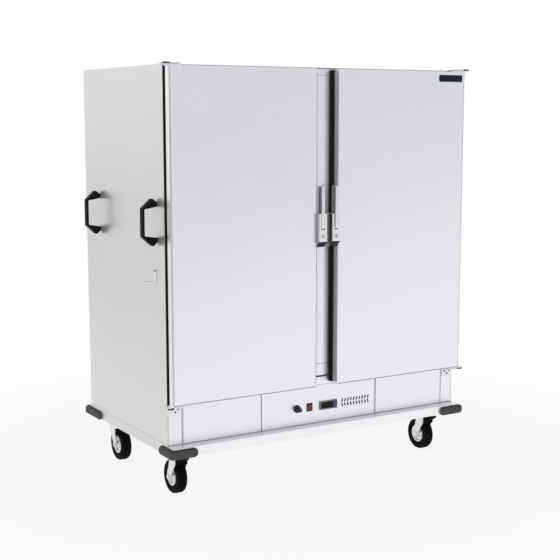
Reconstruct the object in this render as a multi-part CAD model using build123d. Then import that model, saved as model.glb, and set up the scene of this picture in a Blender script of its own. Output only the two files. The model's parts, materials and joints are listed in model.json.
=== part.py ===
import os
from math import cos, pi, sin

from build123d import *

os.makedirs("parts", exist_ok=True)

# Millimetres. X runs to the right, Y to the back, Z up; the wheels stand on Z = 0.

# Cabinet body.
body_width = 1260
body_depth = 700
deck_top = 205
body_height = 1311
sheet = 1.5
wall = 38
frame_sheet = 2

# Doors and front frame.
base_height = 151
door_head_gap = 5
door_side_gap = 1
door_half_gap = 46.5
door_thickness = 29.5
gasket_gap = 14
gasket_clearance = 0.5
gasket_width = 20
gasket_inset = 4
gasket_lip = 8
door_edge_radius = 2.5
post_width = 53
mullion_half = 66
head_height = 30
head_sheet = 80
sill_height = 33
panel_lap = 6
cover_half = 30
cover_depth = 12
cover_round_x = 22
cover_round_y = 10
cover_groove = 1.2
cover_foot = 44

# Base frame, deck and bumpers.
front_overhang = 44.6
side_overhang = 4
rear_overhang = 15
frame_height = 32
frame_wall = 2.5
frame_flange = 40
deck_sheet = 2
cross_rail = 40
cross_rail_x = 210
gusset_thickness = 6
gusset_reach = 60
bumper_thickness = 14
bumper_height = 34
bumper_drop = 4
bumper_front_arm = 110
bumper_side_arm = 110
bumper_rear_side_arm = 145
bumper_corner = 13.5
bumper_edge = 12

# Casters.
kingpin_inset_x = 74
kingpin_front_inset = 60
kingpin_rear_inset = 80
wheel_radius = 62.5
rim_radius = 34
tyre_width = 40
tyre_shoulder_depth = 7
tyre_crown_drop = 2.3
tyre_crown_half = 16.5
tyre_bead_depth = 4
hub_radius = 13
hub_width = 44
rim_width = 34
rim_lip = 4
rim_web = 12
axle_radius = 5
axle_head_radius = 8.5
axle_head = 5
trail = 38
leg_inner = 23
leg_thickness = 3.5
leg_back = 10
leg_front = 26
leg_skirt = 26
leg_eye = 13
leg_waist = 4.3
crown_thickness = 4
race_radius = 29
race_height = 8
race_gap = 0.5
plate_thickness = 4
plate_x = 104
plate_y = 88
plate_corner = 8
bolt_head_radius = 6.5
bolt_head = 5
bolt_inset = 14
kingpin_radius = 6
kingpin_nut_radius = 11
kingpin_nut = 4
pedal_pin_radius = 3
pedal_pin_drop = 13
pedal_pin_x = 2
pedal_reach = 46
pedal_tip_half = 14
pedal_thickness = 7
pedal_arm_gap = 1
pedal_neck = 16
pedal_bend = 33
pedal_rise = 9
pedal_shoe_x = 13
pedal_shoe_tip = 6.5
pedal_shoe_drop = 19.5
running_fit = 0.06

# Hinges.
pivot_out = 8
hinge_half = 13
hinge_nose = 18
hinge_plate = 4
hinge_gap = 1
hinge_length = 48
hinge_seat = 70
hinge_flange = 38
hinge_margin = 3
pin_radius = 5
pin_head_radius = 8
pin_head = 4
pin_tail = 3
screw_radius = 4
screw_head = 2.4
screw_margin = 12
screw_step = 10.5

# Latches.
latch_proud = 17.5
latch_lever_lead = 2
latch_rear_gap = 6
latch_width = 35.5
latch_above = 45.5
latch_below = 56.5
latch_chamfer = 21
lever_rise = 593.5
lever_width = 13
lever_thickness = 24
lever_length = 144.5
lever_side_gap = 0.4
lever_back_gap = 0.8
lever_pin_radius = 2.5
lever_corner = 3
lock_radius = 7
lock_drop = 37
lock_depth = 12
lock_proud = 1
key_slot_width = 1.6
key_slot_height = 8

# Badge plate on the right door.
badge_width = 111
badge_height = 26
badge_thickness = 1.5
badge_side = 13
badge_top = 13
badge_corner = 4

# Base front panels and controls.
control_half = 254.5
seam = 3
panel_return = 14
panel_margin = 1
control_rise = 64
knob_x = -101
knob_skirt_radius = 14.5
knob_skirt = 7
knob_grip_radius = 10.5
knob_tip_radius = 8.5
knob_length = 24
knob_gap = 0.5
knob_shaft_radius = 3
knob_shaft = 22
knob_groove = 1.6
switch_x = -46.5
switch_width = 25
switch_height = 31
switch_bezel = 2
switch_body_width = 22.8
switch_body_height = 28.6
switch_body_depth = 24
rocker_width = 18.5
rocker_height = 24
rocker_side_gap = 0.5
rocker_end_gap = 1.4
rocker_pocket = 14
rocker_axis_depth = 3
rocker_end_rise = 6.5
rocker_mid_rise = 3.5
rocker_belly = 6.5
rocker_pin_radius = 1.6
rocker_pin_seat = 1.4
rocker_tilt = 9
controller_x = 36.5
controller_width = 78
controller_height = 33
controller_bezel = 4.5
controller_corner = 2
controller_body_width = 70
controller_body_height = 28
controller_body_depth = 55
window_width = 52
window_height = 24
window_depth = 1.2
window_offset = -8
key_radius = 3
key_rise = 0.6
key_offset = 29
key_pitch = 10
key_column_pitch = 6.6
cutout_gap = 0.2
vent_left = 101
vent_columns = 10
vent_pitch = 13.2
vent_rows = 2
vent_row_pitch = 17.5
vent_slot_length = 14.5
vent_slot_width = 5.5
vent_slant = 20

# Bridge handles on both ends, profile measured out from the end panel.
handle_front_y = 69
handle_pitch = 500
handle_rise = 778
handle_width = 24
handle_reach = 57
handle_grip = 8.5
handle_grip_half = 49
handle_knee_out = 18
handle_knee_half = 84
handle_foot_half = 66
handle_inner_half = 54
handle_inner_grip_half = 46
handle_corner = 7

# Cord hook on the left end.
hook_y = 82
hook_rise = 592
hook_plate_width = 16
hook_plate_height = 50
hook_plate = 3
hook_rod_radius = 3
hook_reach = 43
hook_tip = 14

# Fan, heater and air cover on the cavity floor.
motor_radius = 45
motor_height = 70
shaft_radius = 5
shaft_hole = 12
fan_lift = 16
impeller_radius = 85
impeller_disc = 2
impeller_height = 34
impeller_hub = 16
blade_count = 8
blade_thickness = 2
blade_inner = 40
heater_radius = 112
heater_tube = 4.25
heater_lift = 31
heater_leg = 5.5
heater_leg_length = 90
heater_leg_head = 1.5
heater_leg_gap = 0.3
heater_leg_angle = 12
air_cover_half = 150
air_cover_height = 71
intake_radius = 70
intake_ring_gap = 22
intake_hole = 7
intake_count = 18
intake_rings = 3
outlet_count = 9
outlet_width = 16
outlet_height = 24
outlet_pitch = 28

# Shelving.
post_depth = 24
post_thickness = 12
centre_post = 30
post_front_inset = 90
post_rear_inset = 70
shelf_levels = 4
shelf_first = 111
shelf_head = 266
shelf_side_gap = 3
shelf_overhang = 40
carrier_radius = 4
wire_radius = 2.5
wire_weld = 0.6
wire_count = 14
bracket_reach = 18
bracket_width = 16
bracket_height = 6

# Power inlet on the back.
inlet_side = 130
inlet_rise = 75
inlet_flange_radius = 30
inlet_flange = 3
inlet_barrel_radius = 22
inlet_barrel = 20
inlet_bore = 18
inlet_bore_depth = 16
inlet_body_radius = 17
inlet_body = 35
inlet_pin_radius = 2.5
inlet_pin_circle = 9
inlet_pins = 3

# Derived positions.
half = body_width / 2
door_stand = gasket_gap + door_thickness
front_reach = max(door_stand + latch_proud, front_overhang + bumper_thickness)
rear_reach = max(rear_overhang + bumper_thickness, inlet_flange + inlet_barrel)
front = front_reach - (front_reach + body_depth + rear_reach) / 2
back = front + body_depth
body_top = deck_top + body_height
door_front = front - door_stand
door_rear = front - gasket_gap
door_bottom = deck_top + base_height
door_top = body_top - door_head_gap
door_out = half - door_side_gap
sill_top = door_bottom + sill_height
head_bottom = body_top - head_height
panel_top = door_bottom - panel_lap
inner_half = half - wall
liner_back = back - wall
opening_out = half - post_width
frame_top = deck_top - deck_sheet
frame_bottom = frame_top - frame_height
frame_half = half + side_overhang
frame_front = front - front_overhang
frame_back = back + rear_overhang
pivot_x = half + pivot_out
pivot_y = (door_front + door_rear) / 2
kingpin_x = half - kingpin_inset_x
kingpin_front = front + kingpin_front_inset
kingpin_rear = back - kingpin_rear_inset
control_z = deck_top + control_rise
fan_y = (front + post_front_inset + liner_back - post_rear_inset) / 2


def block(x0, x1, y0, y1, z0, z1):
    box = Box(x1 - x0, y1 - y0, z1 - z0)
    return Pos((x0 + x1) / 2, (y0 + y1) / 2, (z0 + z1) / 2) * box


def rod_x(radius, x0, x1, y, z):
    return Pos((x0 + x1) / 2, y, z) * Rot(0, 90, 0) * Cylinder(radius, x1 - x0)


def rod_y(radius, x, y0, y1, z):
    return Pos(x, (y0 + y1) / 2, z) * Rot(90, 0, 0) * Cylinder(radius, y1 - y0)


def rod_z(radius, x, y, z0, z1):
    return Pos(x, y, (z0 + z1) / 2) * Cylinder(radius, z1 - z0)


def prism_x(points, x0, x1):
    # The points are (Y, Z) pairs.
    face = make_face(Polyline([(0, y, z) for y, z in points], close=True))
    return Pos(x0, 0, 0) * extrude(face, amount=x1 - x0, dir=(1, 0, 0))


def prism_y(points, y0, y1):
    # The points are (X, Z) pairs.
    face = make_face(Polyline([(x, 0, z) for x, z in points], close=True))
    return Pos(0, y0, 0) * extrude(face, amount=y1 - y0, dir=(0, 1, 0))


def mirrored(shape):
    return mirror(shape, about=Plane.YZ)


def save(shape, name):
    export_step(shape, f"parts/{name}.step")


def save_group(solids, name):
    save(Compound(solids), name)


# Base frame: a ring of channels with two cross rails and a gusset under each corner.
frame = block(-frame_half, frame_half, frame_front, frame_back, frame_bottom, frame_top)
frame -= block(
    -frame_half + frame_wall, frame_half - frame_wall,
    frame_front + frame_wall, frame_back - frame_wall,
    frame_bottom + frame_wall, frame_top - frame_wall,
)
frame -= block(
    -frame_half + frame_flange, frame_half - frame_flange,
    frame_front + frame_flange, frame_back - frame_flange,
    frame_bottom, frame_top,
)
for rail_x in (-cross_rail_x, cross_rail_x):
    frame += block(
        rail_x - cross_rail / 2, rail_x + cross_rail / 2,
        frame_front + frame_wall, frame_back - frame_wall,
        frame_bottom, frame_top,
    )
gusset_top = frame_bottom + gusset_thickness
for side in (-1, 1):
    gusset_edges = sorted((side * (kingpin_x - gusset_reach), side * (frame_half - frame_wall)))
    for gusset_front, gusset_back in (
        (frame_front + frame_wall, kingpin_front + gusset_reach),
        (kingpin_rear - gusset_reach, frame_back - frame_wall),
    ):
        frame += block(*gusset_edges, gusset_front, gusset_back, frame_bottom, gusset_top)
save(frame, "base_frame")

deck = block(-frame_half, frame_half, frame_front, frame_back, frame_top, deck_top)
save(deck, "base_deck")


def bumper_arm(length):
    # Arm along X from the corner at zero, with a round free end, outer face at Y = 0.
    radius = bumper_height / 2
    arm = block(0, length - radius, 0, bumper_thickness, -radius, radius)
    return arm + rod_y(radius, length - radius, 0, bumper_thickness, 0)


def on_outer_face(edge):
    # The edges that frame the two outer faces and the rounded corner between them.
    middle = edge.position_at(0.5)
    inside_corner = min(middle.X, middle.Y) < bumper_corner / 2
    upright = abs(edge.tangent_at(0.5).Z) > 0.999
    return inside_corner and not (upright and max(middle.X, middle.Y) <= bumper_corner)


def bumper(along_x, along_y):
    # Outer corner at the origin, arms along +X and +Y.
    arm_x = bumper_arm(along_x)
    arm_y = mirror(Rot(0, 0, 90) * bumper_arm(along_y), about=Plane.YZ)
    shape = arm_x + arm_y
    corner = shape.edges().filter_by(Axis.Z).sort_by_distance((0, 0, 0))[0]
    shape = fillet(corner, bumper_corner)
    outline = shape.edges().filter_by(on_outer_face)
    return fillet(outline, bumper_edge)


bumper_z = deck_top - bumper_drop - bumper_height / 2
bumper_x = frame_half + bumper_thickness
front_left_bumper = Pos(-bumper_x, frame_front - bumper_thickness, bumper_z) * bumper(
    bumper_front_arm, bumper_side_arm
)
rear_left_bumper = Pos(-bumper_x, frame_back + bumper_thickness, bumper_z) * mirror(
    bumper(bumper_front_arm, bumper_rear_side_arm), about=Plane.XZ
)
save_group(
    [front_left_bumper, mirrored(front_left_bumper), rear_left_bumper, mirrored(rear_left_bumper)],
    "corner_bumpers",
)

# Casters. Each is drawn with the kingpin on Z, trailing towards +X.
plate_bottom = frame_bottom - plate_thickness
race_bottom = plate_bottom - race_height
fork_race_top = race_bottom - race_gap
crown_top = fork_race_top - race_height
crown_bottom = crown_top - crown_thickness
nut_top = crown_bottom - race_gap
nut_bottom = nut_top - kingpin_nut
leg_outer = leg_inner + leg_thickness
pedal_pin_z = crown_bottom - pedal_pin_drop


def caster_plate():
    flat = extrude(RectangleRounded(plate_x, plate_y, plate_corner), plate_thickness)
    shape = Pos(0, 0, plate_bottom) * flat
    shape += rod_z(race_radius, 0, 0, race_bottom, plate_bottom)
    shape += rod_z(kingpin_radius, 0, 0, nut_bottom, race_bottom)
    shape += rod_z(kingpin_nut_radius, 0, 0, nut_bottom, nut_top)
    for bolt_x in (-plate_x / 2 + bolt_inset, plate_x / 2 - bolt_inset):
        for bolt_y in (-plate_y / 2 + bolt_inset, plate_y / 2 - bolt_inset):
            shape += rod_z(bolt_head_radius, bolt_x, bolt_y, plate_bottom - bolt_head, plate_bottom)
    return shape


def caster_fork(braked):
    shape = rod_z(race_radius, 0, 0, crown_top, fork_race_top)
    shape += rod_z(race_radius, 0, 0, crown_bottom, crown_top)
    profile = [
        (-leg_back, crown_top),
        (leg_front, crown_top),
        (trail + leg_eye, wheel_radius + leg_waist),
        (trail - leg_eye, wheel_radius - leg_waist),
        (-leg_back, crown_bottom - leg_skirt),
    ]
    for y0, y1 in ((-leg_outer, -leg_inner), (leg_inner, leg_outer)):
        shape += prism_y(profile, y0, y1)
        shape += rod_y(leg_eye, trail, y0, y1, wheel_radius)
    shape += rod_y(axle_radius, trail, -leg_outer, leg_outer, wheel_radius)
    shape += rod_y(axle_head_radius, trail, leg_outer, leg_outer + axle_head, wheel_radius)
    shape += rod_y(axle_head_radius, trail, -leg_outer - axle_head, -leg_outer, wheel_radius)
    if braked:
        shape += rod_y(pedal_pin_radius, pedal_pin_x, -leg_outer, leg_outer, pedal_pin_z)
    return shape - rod_z(kingpin_radius + running_fit, 0, 0, crown_bottom, fork_race_top)


def wheel_ring(points):
    # The points are (radius, width) pairs, turned about the axle.
    face = make_face(Polyline([(r, w, 0) for r, w in points], close=True))
    return Pos(trail, 0, wheel_radius) * revolve(face, Axis.Y, 360)


def wheel_rim():
    bore = axle_radius + running_fit
    seat = rim_radius - rim_lip
    profile = [
        (bore, -hub_width / 2),
        (hub_radius, -hub_width / 2),
        (hub_radius + rim_lip, -rim_web / 2),
        (seat - rim_lip, -rim_web / 2),
        (seat, -rim_width / 2),
        (rim_radius, -rim_width / 2),
        (rim_radius, rim_width / 2),
        (seat, rim_width / 2),
        (seat - rim_lip, rim_web / 2),
        (hub_radius + rim_lip, rim_web / 2),
        (hub_radius, hub_width / 2),
        (bore, hub_width / 2),
    ]
    return wheel_ring(profile)


def wheel_tyre():
    shoulder = wheel_radius - tyre_shoulder_depth
    crown = wheel_radius - tyre_crown_drop
    edge = tyre_width / 2 - tyre_shoulder_depth
    profile = [
        (rim_radius, -rim_width / 2),
        (rim_radius + tyre_bead_depth, -tyre_width / 2),
        (shoulder, -tyre_width / 2),
        (crown, -tyre_crown_half),
        (wheel_radius, -edge),
        (wheel_radius, edge),
        (crown, tyre_crown_half),
        (shoulder, tyre_width / 2),
        (rim_radius + tyre_bead_depth, tyre_width / 2),
        (rim_radius, rim_width / 2),
    ]
    return wheel_ring(profile)


def brake_pedal():
    arm_half = leg_inner - pedal_arm_gap
    low = pedal_pin_z - pedal_shoe_drop
    high = pedal_pin_z + pedal_thickness
    arm_profile = [
        (pedal_pin_x + pedal_thickness, pedal_pin_z - pedal_thickness / 2),
        (pedal_pin_x + pedal_thickness, high - pedal_thickness / 2),
        (pedal_pin_x, high),
        (-pedal_neck, high),
        (-pedal_neck, high - pedal_thickness),
        (-pedal_shoe_x, low),
        (-pedal_shoe_tip, low),
    ]
    shape = prism_y(arm_profile, -arm_half, arm_half)
    tip_top = high + pedal_rise
    tip_profile = [
        (-pedal_neck, high - pedal_thickness),
        (-pedal_neck, high),
        (-pedal_bend, high),
        (-pedal_reach + pedal_thickness / 2, tip_top),
        (-pedal_reach, tip_top - pedal_thickness / 2),
        (-pedal_reach, tip_top - pedal_thickness),
        (-pedal_bend, high - pedal_thickness),
    ]
    shape += prism_y(tip_profile, -pedal_tip_half, pedal_tip_half)
    bore = pedal_pin_radius + running_fit
    return shape - rod_y(bore, pedal_pin_x, -leg_outer, leg_outer, pedal_pin_z)


caster_places = {
    "front_left": (-kingpin_x, kingpin_front, 90),
    "front_right": (kingpin_x, kingpin_front, 90),
    "rear_left": (-kingpin_x, kingpin_rear, -90),
    "rear_right": (kingpin_x, kingpin_rear, -90),
}
plates = []
for place, (caster_x, caster_y, turn) in caster_places.items():
    stand = Pos(caster_x, caster_y, 0) * Rot(0, 0, turn)
    braked = place.startswith("front")
    plates.append(stand * caster_plate())
    save(stand * caster_fork(braked), f"{place}_fork")
    save(stand * wheel_rim(), f"{place}_rim")
    save(stand * wheel_tyre(), f"{place}_tyre")
    if braked:
        save(stand * brake_pedal(), f"{place}_brake_pedal")
save_group(plates, "caster_plates")

# Cabinet shell.
side_inner = half - sheet
shell_front = front + frame_sheet
shell_back = back - sheet
right_panel = block(side_inner, half, shell_front, back, deck_top, body_top)
save(right_panel, "right_side_panel")
save(mirrored(right_panel), "left_side_panel")

inlet_x = half - inlet_side
inlet_z = deck_top + inlet_rise
back_panel = block(-side_inner, side_inner, shell_back, back, deck_top, body_top)
back_panel -= rod_y(inlet_body_radius + cutout_gap, inlet_x, shell_back, back, inlet_z)
save(back_panel, "back_panel")

# The top is two sheets, and the narrow front one carries the hinge brackets.
top_seam = front + head_sheet
head_strip = block(-side_inner, side_inner, shell_front, top_seam, body_top - sheet, body_top)
top_sheet = block(-side_inner, side_inner, top_seam, shell_back, body_top - sheet, body_top)
save_group([head_strip, top_sheet], "top_panel")

front_frame = block(-half, half, front, shell_front, deck_top, body_top)
front_frame -= block(mullion_half, opening_out, front, shell_front, sill_top, head_bottom)
front_frame -= block(-opening_out, -mullion_half, front, shell_front, sill_top, head_bottom)
front_frame -= block(-opening_out, opening_out, front, shell_front, deck_top, panel_top)
save(front_frame, "front_frame")



def cover_bar(inset, z0, z1):
    # A flat bar whose front edges fall away along quarter ellipses.
    reach_x = cover_half - inset
    bar_front = front - cover_depth + inset
    flat = reach_x - cover_round_x
    bend_y = bar_front + cover_round_y
    bar = block(-flat, flat, bar_front, front, z0, z1)
    bar += block(-reach_x, reach_x, bend_y, front, z0, z1)
    for side in (-1, 1):
        bend = extrude(Ellipse(cover_round_x, cover_round_y), z1 - z0)
        bar += Pos(side * flat, bend_y, z0) * bend
    return bar & block(-reach_x, reach_x, bar_front, front, z0, z1)


groove_z = sill_top + cover_foot
groove_top = groove_z + cover_groove
groove = cover_bar(0, groove_z, groove_top) - cover_bar(cover_groove, groove_z, groove_top)
save(cover_bar(0, sill_top, head_bottom) - groove, "mullion_cover")

heater_legs = [
    (heater_radius * sin(angle * pi / 180), fan_y + heater_radius * cos(angle * pi / 180))
    for angle in (-heater_leg_angle, heater_leg_angle)
]


def floor_holes(z0, z1):
    holes = [rod_z(shaft_hole, 0, fan_y, z0, z1)]
    for leg_x, leg_y in heater_legs:
        holes.append(rod_z(heater_leg + heater_leg_gap, leg_x, leg_y, z0, z1))
    return holes


pan_bottom = door_bottom - sheet
floor_pan = block(-side_inner, side_inner, shell_front, shell_back, pan_bottom, door_bottom)
floor_pan -= floor_holes(pan_bottom, door_bottom)
save(floor_pan, "floor_pan")

liner_outer = block(
    -inner_half - sheet, inner_half + sheet,
    shell_front, liner_back + sheet,
    sill_top - sheet, head_bottom + sheet,
)
foam = block(
    -side_inner, side_inner, shell_front, shell_back, door_bottom, body_top - sheet
)
foam = foam - liner_outer - floor_holes(door_bottom, sill_top)
save(foam, "insulation")

liner = liner_outer - block(
    -inner_half, inner_half, shell_front, liner_back, sill_top, head_bottom
)
liner -= floor_holes(sill_top - sheet, sill_top)
save(liner, "inner_liner")

# Base front: trays standing on the deck between the posts, with narrow seams between them.
tray_bottom = deck_top
tray_top = panel_top - panel_margin


def tray(x0, x1):
    shape = block(x0, x1, front, front + panel_return, tray_bottom, tray_top)
    return shape - block(
        x0 + sheet, x1 - sheet,
        front + sheet, front + panel_return,
        tray_bottom + sheet, tray_top - sheet,
    )


right_tray = tray(control_half + seam / 2, opening_out - seam / 2)
save_group([mirrored(right_tray), right_tray], "service_panels")

control_panel = tray(-control_half + seam / 2, control_half - seam / 2)
control_cuts = [
    rod_y(knob_shaft_radius + running_fit, knob_x, front, front + sheet, control_z),
    block(
        switch_x - switch_body_width / 2 - cutout_gap, switch_x + switch_body_width / 2 + cutout_gap,
        front, front + sheet,
        control_z - switch_body_height / 2 - cutout_gap, control_z + switch_body_height / 2 + cutout_gap,
    ),
    block(
        controller_x - controller_body_width / 2 - cutout_gap,
        controller_x + controller_body_width / 2 + cutout_gap,
        front, front + sheet,
        control_z - controller_body_height / 2 - cutout_gap,
        control_z + controller_body_height / 2 + cutout_gap,
    ),
]
for column in range(vent_columns):
    for row in range(vent_rows):
        slot_x = vent_left + column * vent_pitch
        slot_z = control_z + (row - (vent_rows - 1) / 2) * vent_row_pitch
        slot = Box(vent_slot_width, sheet, vent_slot_length)
        lean = vent_slant if row else -vent_slant
        control_cuts.append(Pos(slot_x, front + sheet / 2, slot_z) * Rot(0, lean, 0) * slot)
save(control_panel - control_cuts, "control_panel")

knob_face = front - knob_gap
knob_profile = [
    (0, knob_face + knob_shaft),
    (knob_shaft_radius, knob_face + knob_shaft),
    (knob_shaft_radius, knob_face),
    (knob_skirt_radius, knob_face),
    (knob_skirt_radius, knob_face - knob_skirt / 2),
    (knob_grip_radius, knob_face - knob_skirt),
    (knob_tip_radius, knob_face - knob_length),
    (0, knob_face - knob_length),
]
knob_section = make_face(Polyline([(r, y, 0) for r, y in knob_profile], close=True))
knob = Pos(knob_x, 0, control_z) * revolve(knob_section, Axis.Y, 360)
knob -= block(
    knob_x - knob_groove / 2, knob_x + knob_groove / 2,
    knob_face - knob_length, knob_face - knob_length + knob_groove,
    control_z, control_z + knob_grip_radius,
)
save(knob, "regulator_knob")

switch_frame = block(
    switch_x - switch_width / 2, switch_x + switch_width / 2,
    front - switch_bezel, front,
    control_z - switch_height / 2, control_z + switch_height / 2,
)
switch_frame += block(
    switch_x - switch_body_width / 2, switch_x + switch_body_width / 2,
    front, front + switch_body_depth,
    control_z - switch_body_height / 2, control_z + switch_body_height / 2,
)
rocker_axis_y = front + rocker_axis_depth
pocket_half = rocker_width / 2 + rocker_side_gap
switch_frame -= block(
    switch_x - pocket_half, switch_x + pocket_half,
    front - switch_bezel, front - switch_bezel + rocker_pocket,
    control_z - rocker_height / 2 - rocker_end_gap, control_z + rocker_height / 2 + rocker_end_gap,
)
rocker_pin_half = pocket_half + rocker_pin_seat
switch_frame -= rod_x(
    rocker_pin_radius + running_fit,
    switch_x - rocker_pin_half, switch_x + rocker_pin_half,
    rocker_axis_y, control_z,
)
save(switch_frame, "switch_frame")

# The rocker is drawn level about its pin, then tilted to its off position.
rocker_ends = rocker_height / 2
rocker = prism_x(
    [
        (0, rocker_belly),
        (-rocker_end_rise, rocker_ends),
        (-rocker_mid_rise, 0),
        (-rocker_end_rise, -rocker_ends),
        (0, -rocker_belly),
        (rocker_belly, 0),
    ],
    -rocker_width / 2, rocker_width / 2,
)
pin_tip = rocker_pin_half - rocker_side_gap / 2
rocker += rod_x(rocker_pin_radius, -pin_tip, pin_tip, 0, 0)
rocker = Pos(switch_x, rocker_axis_y, control_z) * Rot(rocker_tilt, 0, 0) * rocker
save(rocker, "switch_rocker")

controller_front = front - controller_bezel
controller = block(
    controller_x - controller_width / 2, controller_x + controller_width / 2,
    controller_front, front,
    control_z - controller_height / 2, control_z + controller_height / 2,
)
controller = fillet(controller.edges().filter_by(Axis.Y), controller_corner)
controller += block(
    controller_x - controller_body_width / 2, controller_x + controller_body_width / 2,
    front, front + controller_body_depth,
    control_z - controller_body_height / 2, control_z + controller_body_height / 2,
)
window_x = controller_x + window_offset
window = block(
    window_x - window_width / 2, window_x + window_width / 2,
    controller_front, controller_front + window_depth,
    control_z - window_height / 2, control_z + window_height / 2,
)
controller -= window
for key_x in (key_offset - key_column_pitch / 2, key_offset + key_column_pitch / 2):
    for key_z in (-key_pitch / 2, key_pitch / 2):
        controller += rod_y(
            key_radius, controller_x + key_x, controller_front - key_rise, controller_front, control_z + key_z
        )
save(controller, "controller_case")
save(window, "controller_window")

# Fan, heater and air cover.
motor_top = pan_bottom
motor = rod_z(motor_radius, 0, fan_y, motor_top - motor_height, motor_top)
impeller_bottom = sill_top + fan_lift
impeller_top = impeller_bottom + impeller_height
motor += rod_z(shaft_radius, 0, fan_y, motor_top, impeller_top)
save(motor, "fan_motor")

impeller = rod_z(impeller_hub, 0, fan_y, impeller_bottom, impeller_top)
impeller += rod_z(impeller_radius, 0, fan_y, impeller_bottom, impeller_bottom + impeller_disc)
for blade in range(blade_count):
    vane = block(
        blade_inner, impeller_radius, -blade_thickness / 2, blade_thickness / 2,
        impeller_bottom, impeller_top,
    )
    impeller += Pos(0, fan_y, 0) * Rot(0, 0, blade * 360 / blade_count) * vane
impeller -= rod_z(shaft_radius + running_fit, 0, fan_y, impeller_bottom, impeller_top)
save(impeller, "fan_impeller")

heater_z = sill_top + heater_lift
heater_section = Plane.XZ * Pos(heater_radius, 0) * Circle(heater_tube)
heater_ring = revolve(heater_section, Axis.Z, 360 - 2 * heater_leg_angle)
heater = Pos(0, fan_y, heater_z) * Rot(0, 0, 90 + heater_leg_angle) * heater_ring
heater_leg_top = heater_z + heater_tube + heater_leg_head
for leg_x, leg_y in heater_legs:
    heater += rod_z(heater_leg, leg_x, leg_y, heater_z - heater_leg_length, heater_leg_top)
save(heater, "heater_element")

cover_top = sill_top + air_cover_height
air_cover = block(
    -air_cover_half, air_cover_half, fan_y - air_cover_half, fan_y + air_cover_half, sill_top, cover_top
)
air_cover -= block(
    -air_cover_half + sheet, air_cover_half - sheet,
    fan_y - air_cover_half + sheet, fan_y + air_cover_half - sheet,
    sill_top, cover_top - sheet,
)
air_cuts = []
for ring in range(intake_rings):
    ring_radius = intake_radius - ring * intake_ring_gap
    ring_count = round(intake_count * ring_radius / intake_radius)
    for hole in range(ring_count):
        angle = 2 * pi * hole / ring_count
        hole_x = ring_radius * cos(angle)
        hole_y = fan_y + ring_radius * sin(angle)
        air_cuts.append(rod_z(intake_hole, hole_x, hole_y, cover_top - sheet, cover_top))
outlet_z = sill_top + air_cover_height / 2
for outlet in range(outlet_count):
    shift = (outlet - (outlet_count - 1) / 2) * outlet_pitch
    for edge in (-1, 1):
        outer = edge * (air_cover_half - sheet / 2)
        air_cuts.append(Pos(outer, fan_y + shift, outlet_z) * Box(sheet, outlet_width, outlet_height))
        air_cuts.append(Pos(shift, fan_y + outer, outlet_z) * Box(outlet_width, sheet, outlet_height))
save(air_cover - air_cuts, "air_cover")

# Shelving: wall posts and centre posts with brackets, and wire shelves resting on them.
post_front_y = front + post_front_inset
post_rear_y = liner_back - post_rear_inset
shelf_step = (head_bottom - sill_top - shelf_first - shelf_head) / (shelf_levels - 1)
shelf_heights = [sill_top + shelf_first + level * shelf_step for level in range(shelf_levels)]
posts = []
for post_y in (post_front_y, post_rear_y):
    wall_post = block(
        inner_half - post_thickness, inner_half,
        post_y - post_depth / 2, post_y + post_depth / 2, sill_top, head_bottom,
    )
    middle_post = block(
        -centre_post / 2, centre_post / 2,
        post_y - centre_post / 2, post_y + centre_post / 2, sill_top, head_bottom,
    )
    bracket_front = post_y - bracket_width / 2
    bracket_back = post_y + bracket_width / 2
    wall_face = inner_half - post_thickness
    bracket_out = centre_post / 2 + bracket_reach
    for shelf_z in shelf_heights:
        seat = (bracket_front, bracket_back, shelf_z - bracket_height, shelf_z)
        wall_post += block(wall_face - bracket_reach, wall_face, *seat)
        middle_post += block(-bracket_out, bracket_out, *seat)
    posts += [wall_post, mirrored(wall_post), middle_post]
save_group(posts, "shelf_posts")

shelf_in = centre_post / 2 + shelf_side_gap
shelf_out = inner_half - post_thickness - shelf_side_gap
wire_front = post_front_y - shelf_overhang
wire_back = post_rear_y + shelf_overhang
wire_z = 2 * carrier_radius + wire_radius - wire_weld
shelf_rods = [
    rod_x(carrier_radius, shelf_in, shelf_out, carrier_y, carrier_radius)
    for carrier_y in (post_front_y, (post_front_y + post_rear_y) / 2, post_rear_y)
]
wire_step = (shelf_out - shelf_in - 2 * carrier_radius) / (wire_count - 1)
for wire in range(wire_count):
    wire_x = shelf_in + carrier_radius + wire * wire_step
    shelf_rods.append(rod_y(wire_radius, wire_x, wire_front, wire_back, wire_z))
shelf = shelf_rods[0].fuse(*shelf_rods[1:])
shelves = []
for shelf_z in shelf_heights:
    right_shelf = Pos(0, 0, shelf_z) * shelf
    shelves += [right_shelf, mirrored(right_shelf)]
save_group(shelves, "wire_shelves")

# Power inlet on the back panel.
inlet = rod_y(inlet_flange_radius, inlet_x, back, back + inlet_flange, inlet_z)
inlet += rod_y(inlet_barrel_radius, inlet_x, back, back + inlet_flange + inlet_barrel, inlet_z)
inlet += rod_y(inlet_body_radius, inlet_x, back - inlet_body, back, inlet_z)
inlet_end = back + inlet_flange + inlet_barrel
inlet -= rod_y(inlet_bore, inlet_x, inlet_end - inlet_bore_depth, inlet_end, inlet_z)
for pin in range(inlet_pins):
    angle = 2 * pi * pin / inlet_pins + pi / 2
    inlet += rod_y(
        inlet_pin_radius, inlet_x + inlet_pin_circle * cos(angle),
        inlet_end - inlet_bore_depth, inlet_end - inlet_pin_radius,
        inlet_z + inlet_pin_circle * sin(angle),
    )
save(inlet, "power_inlet")

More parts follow.
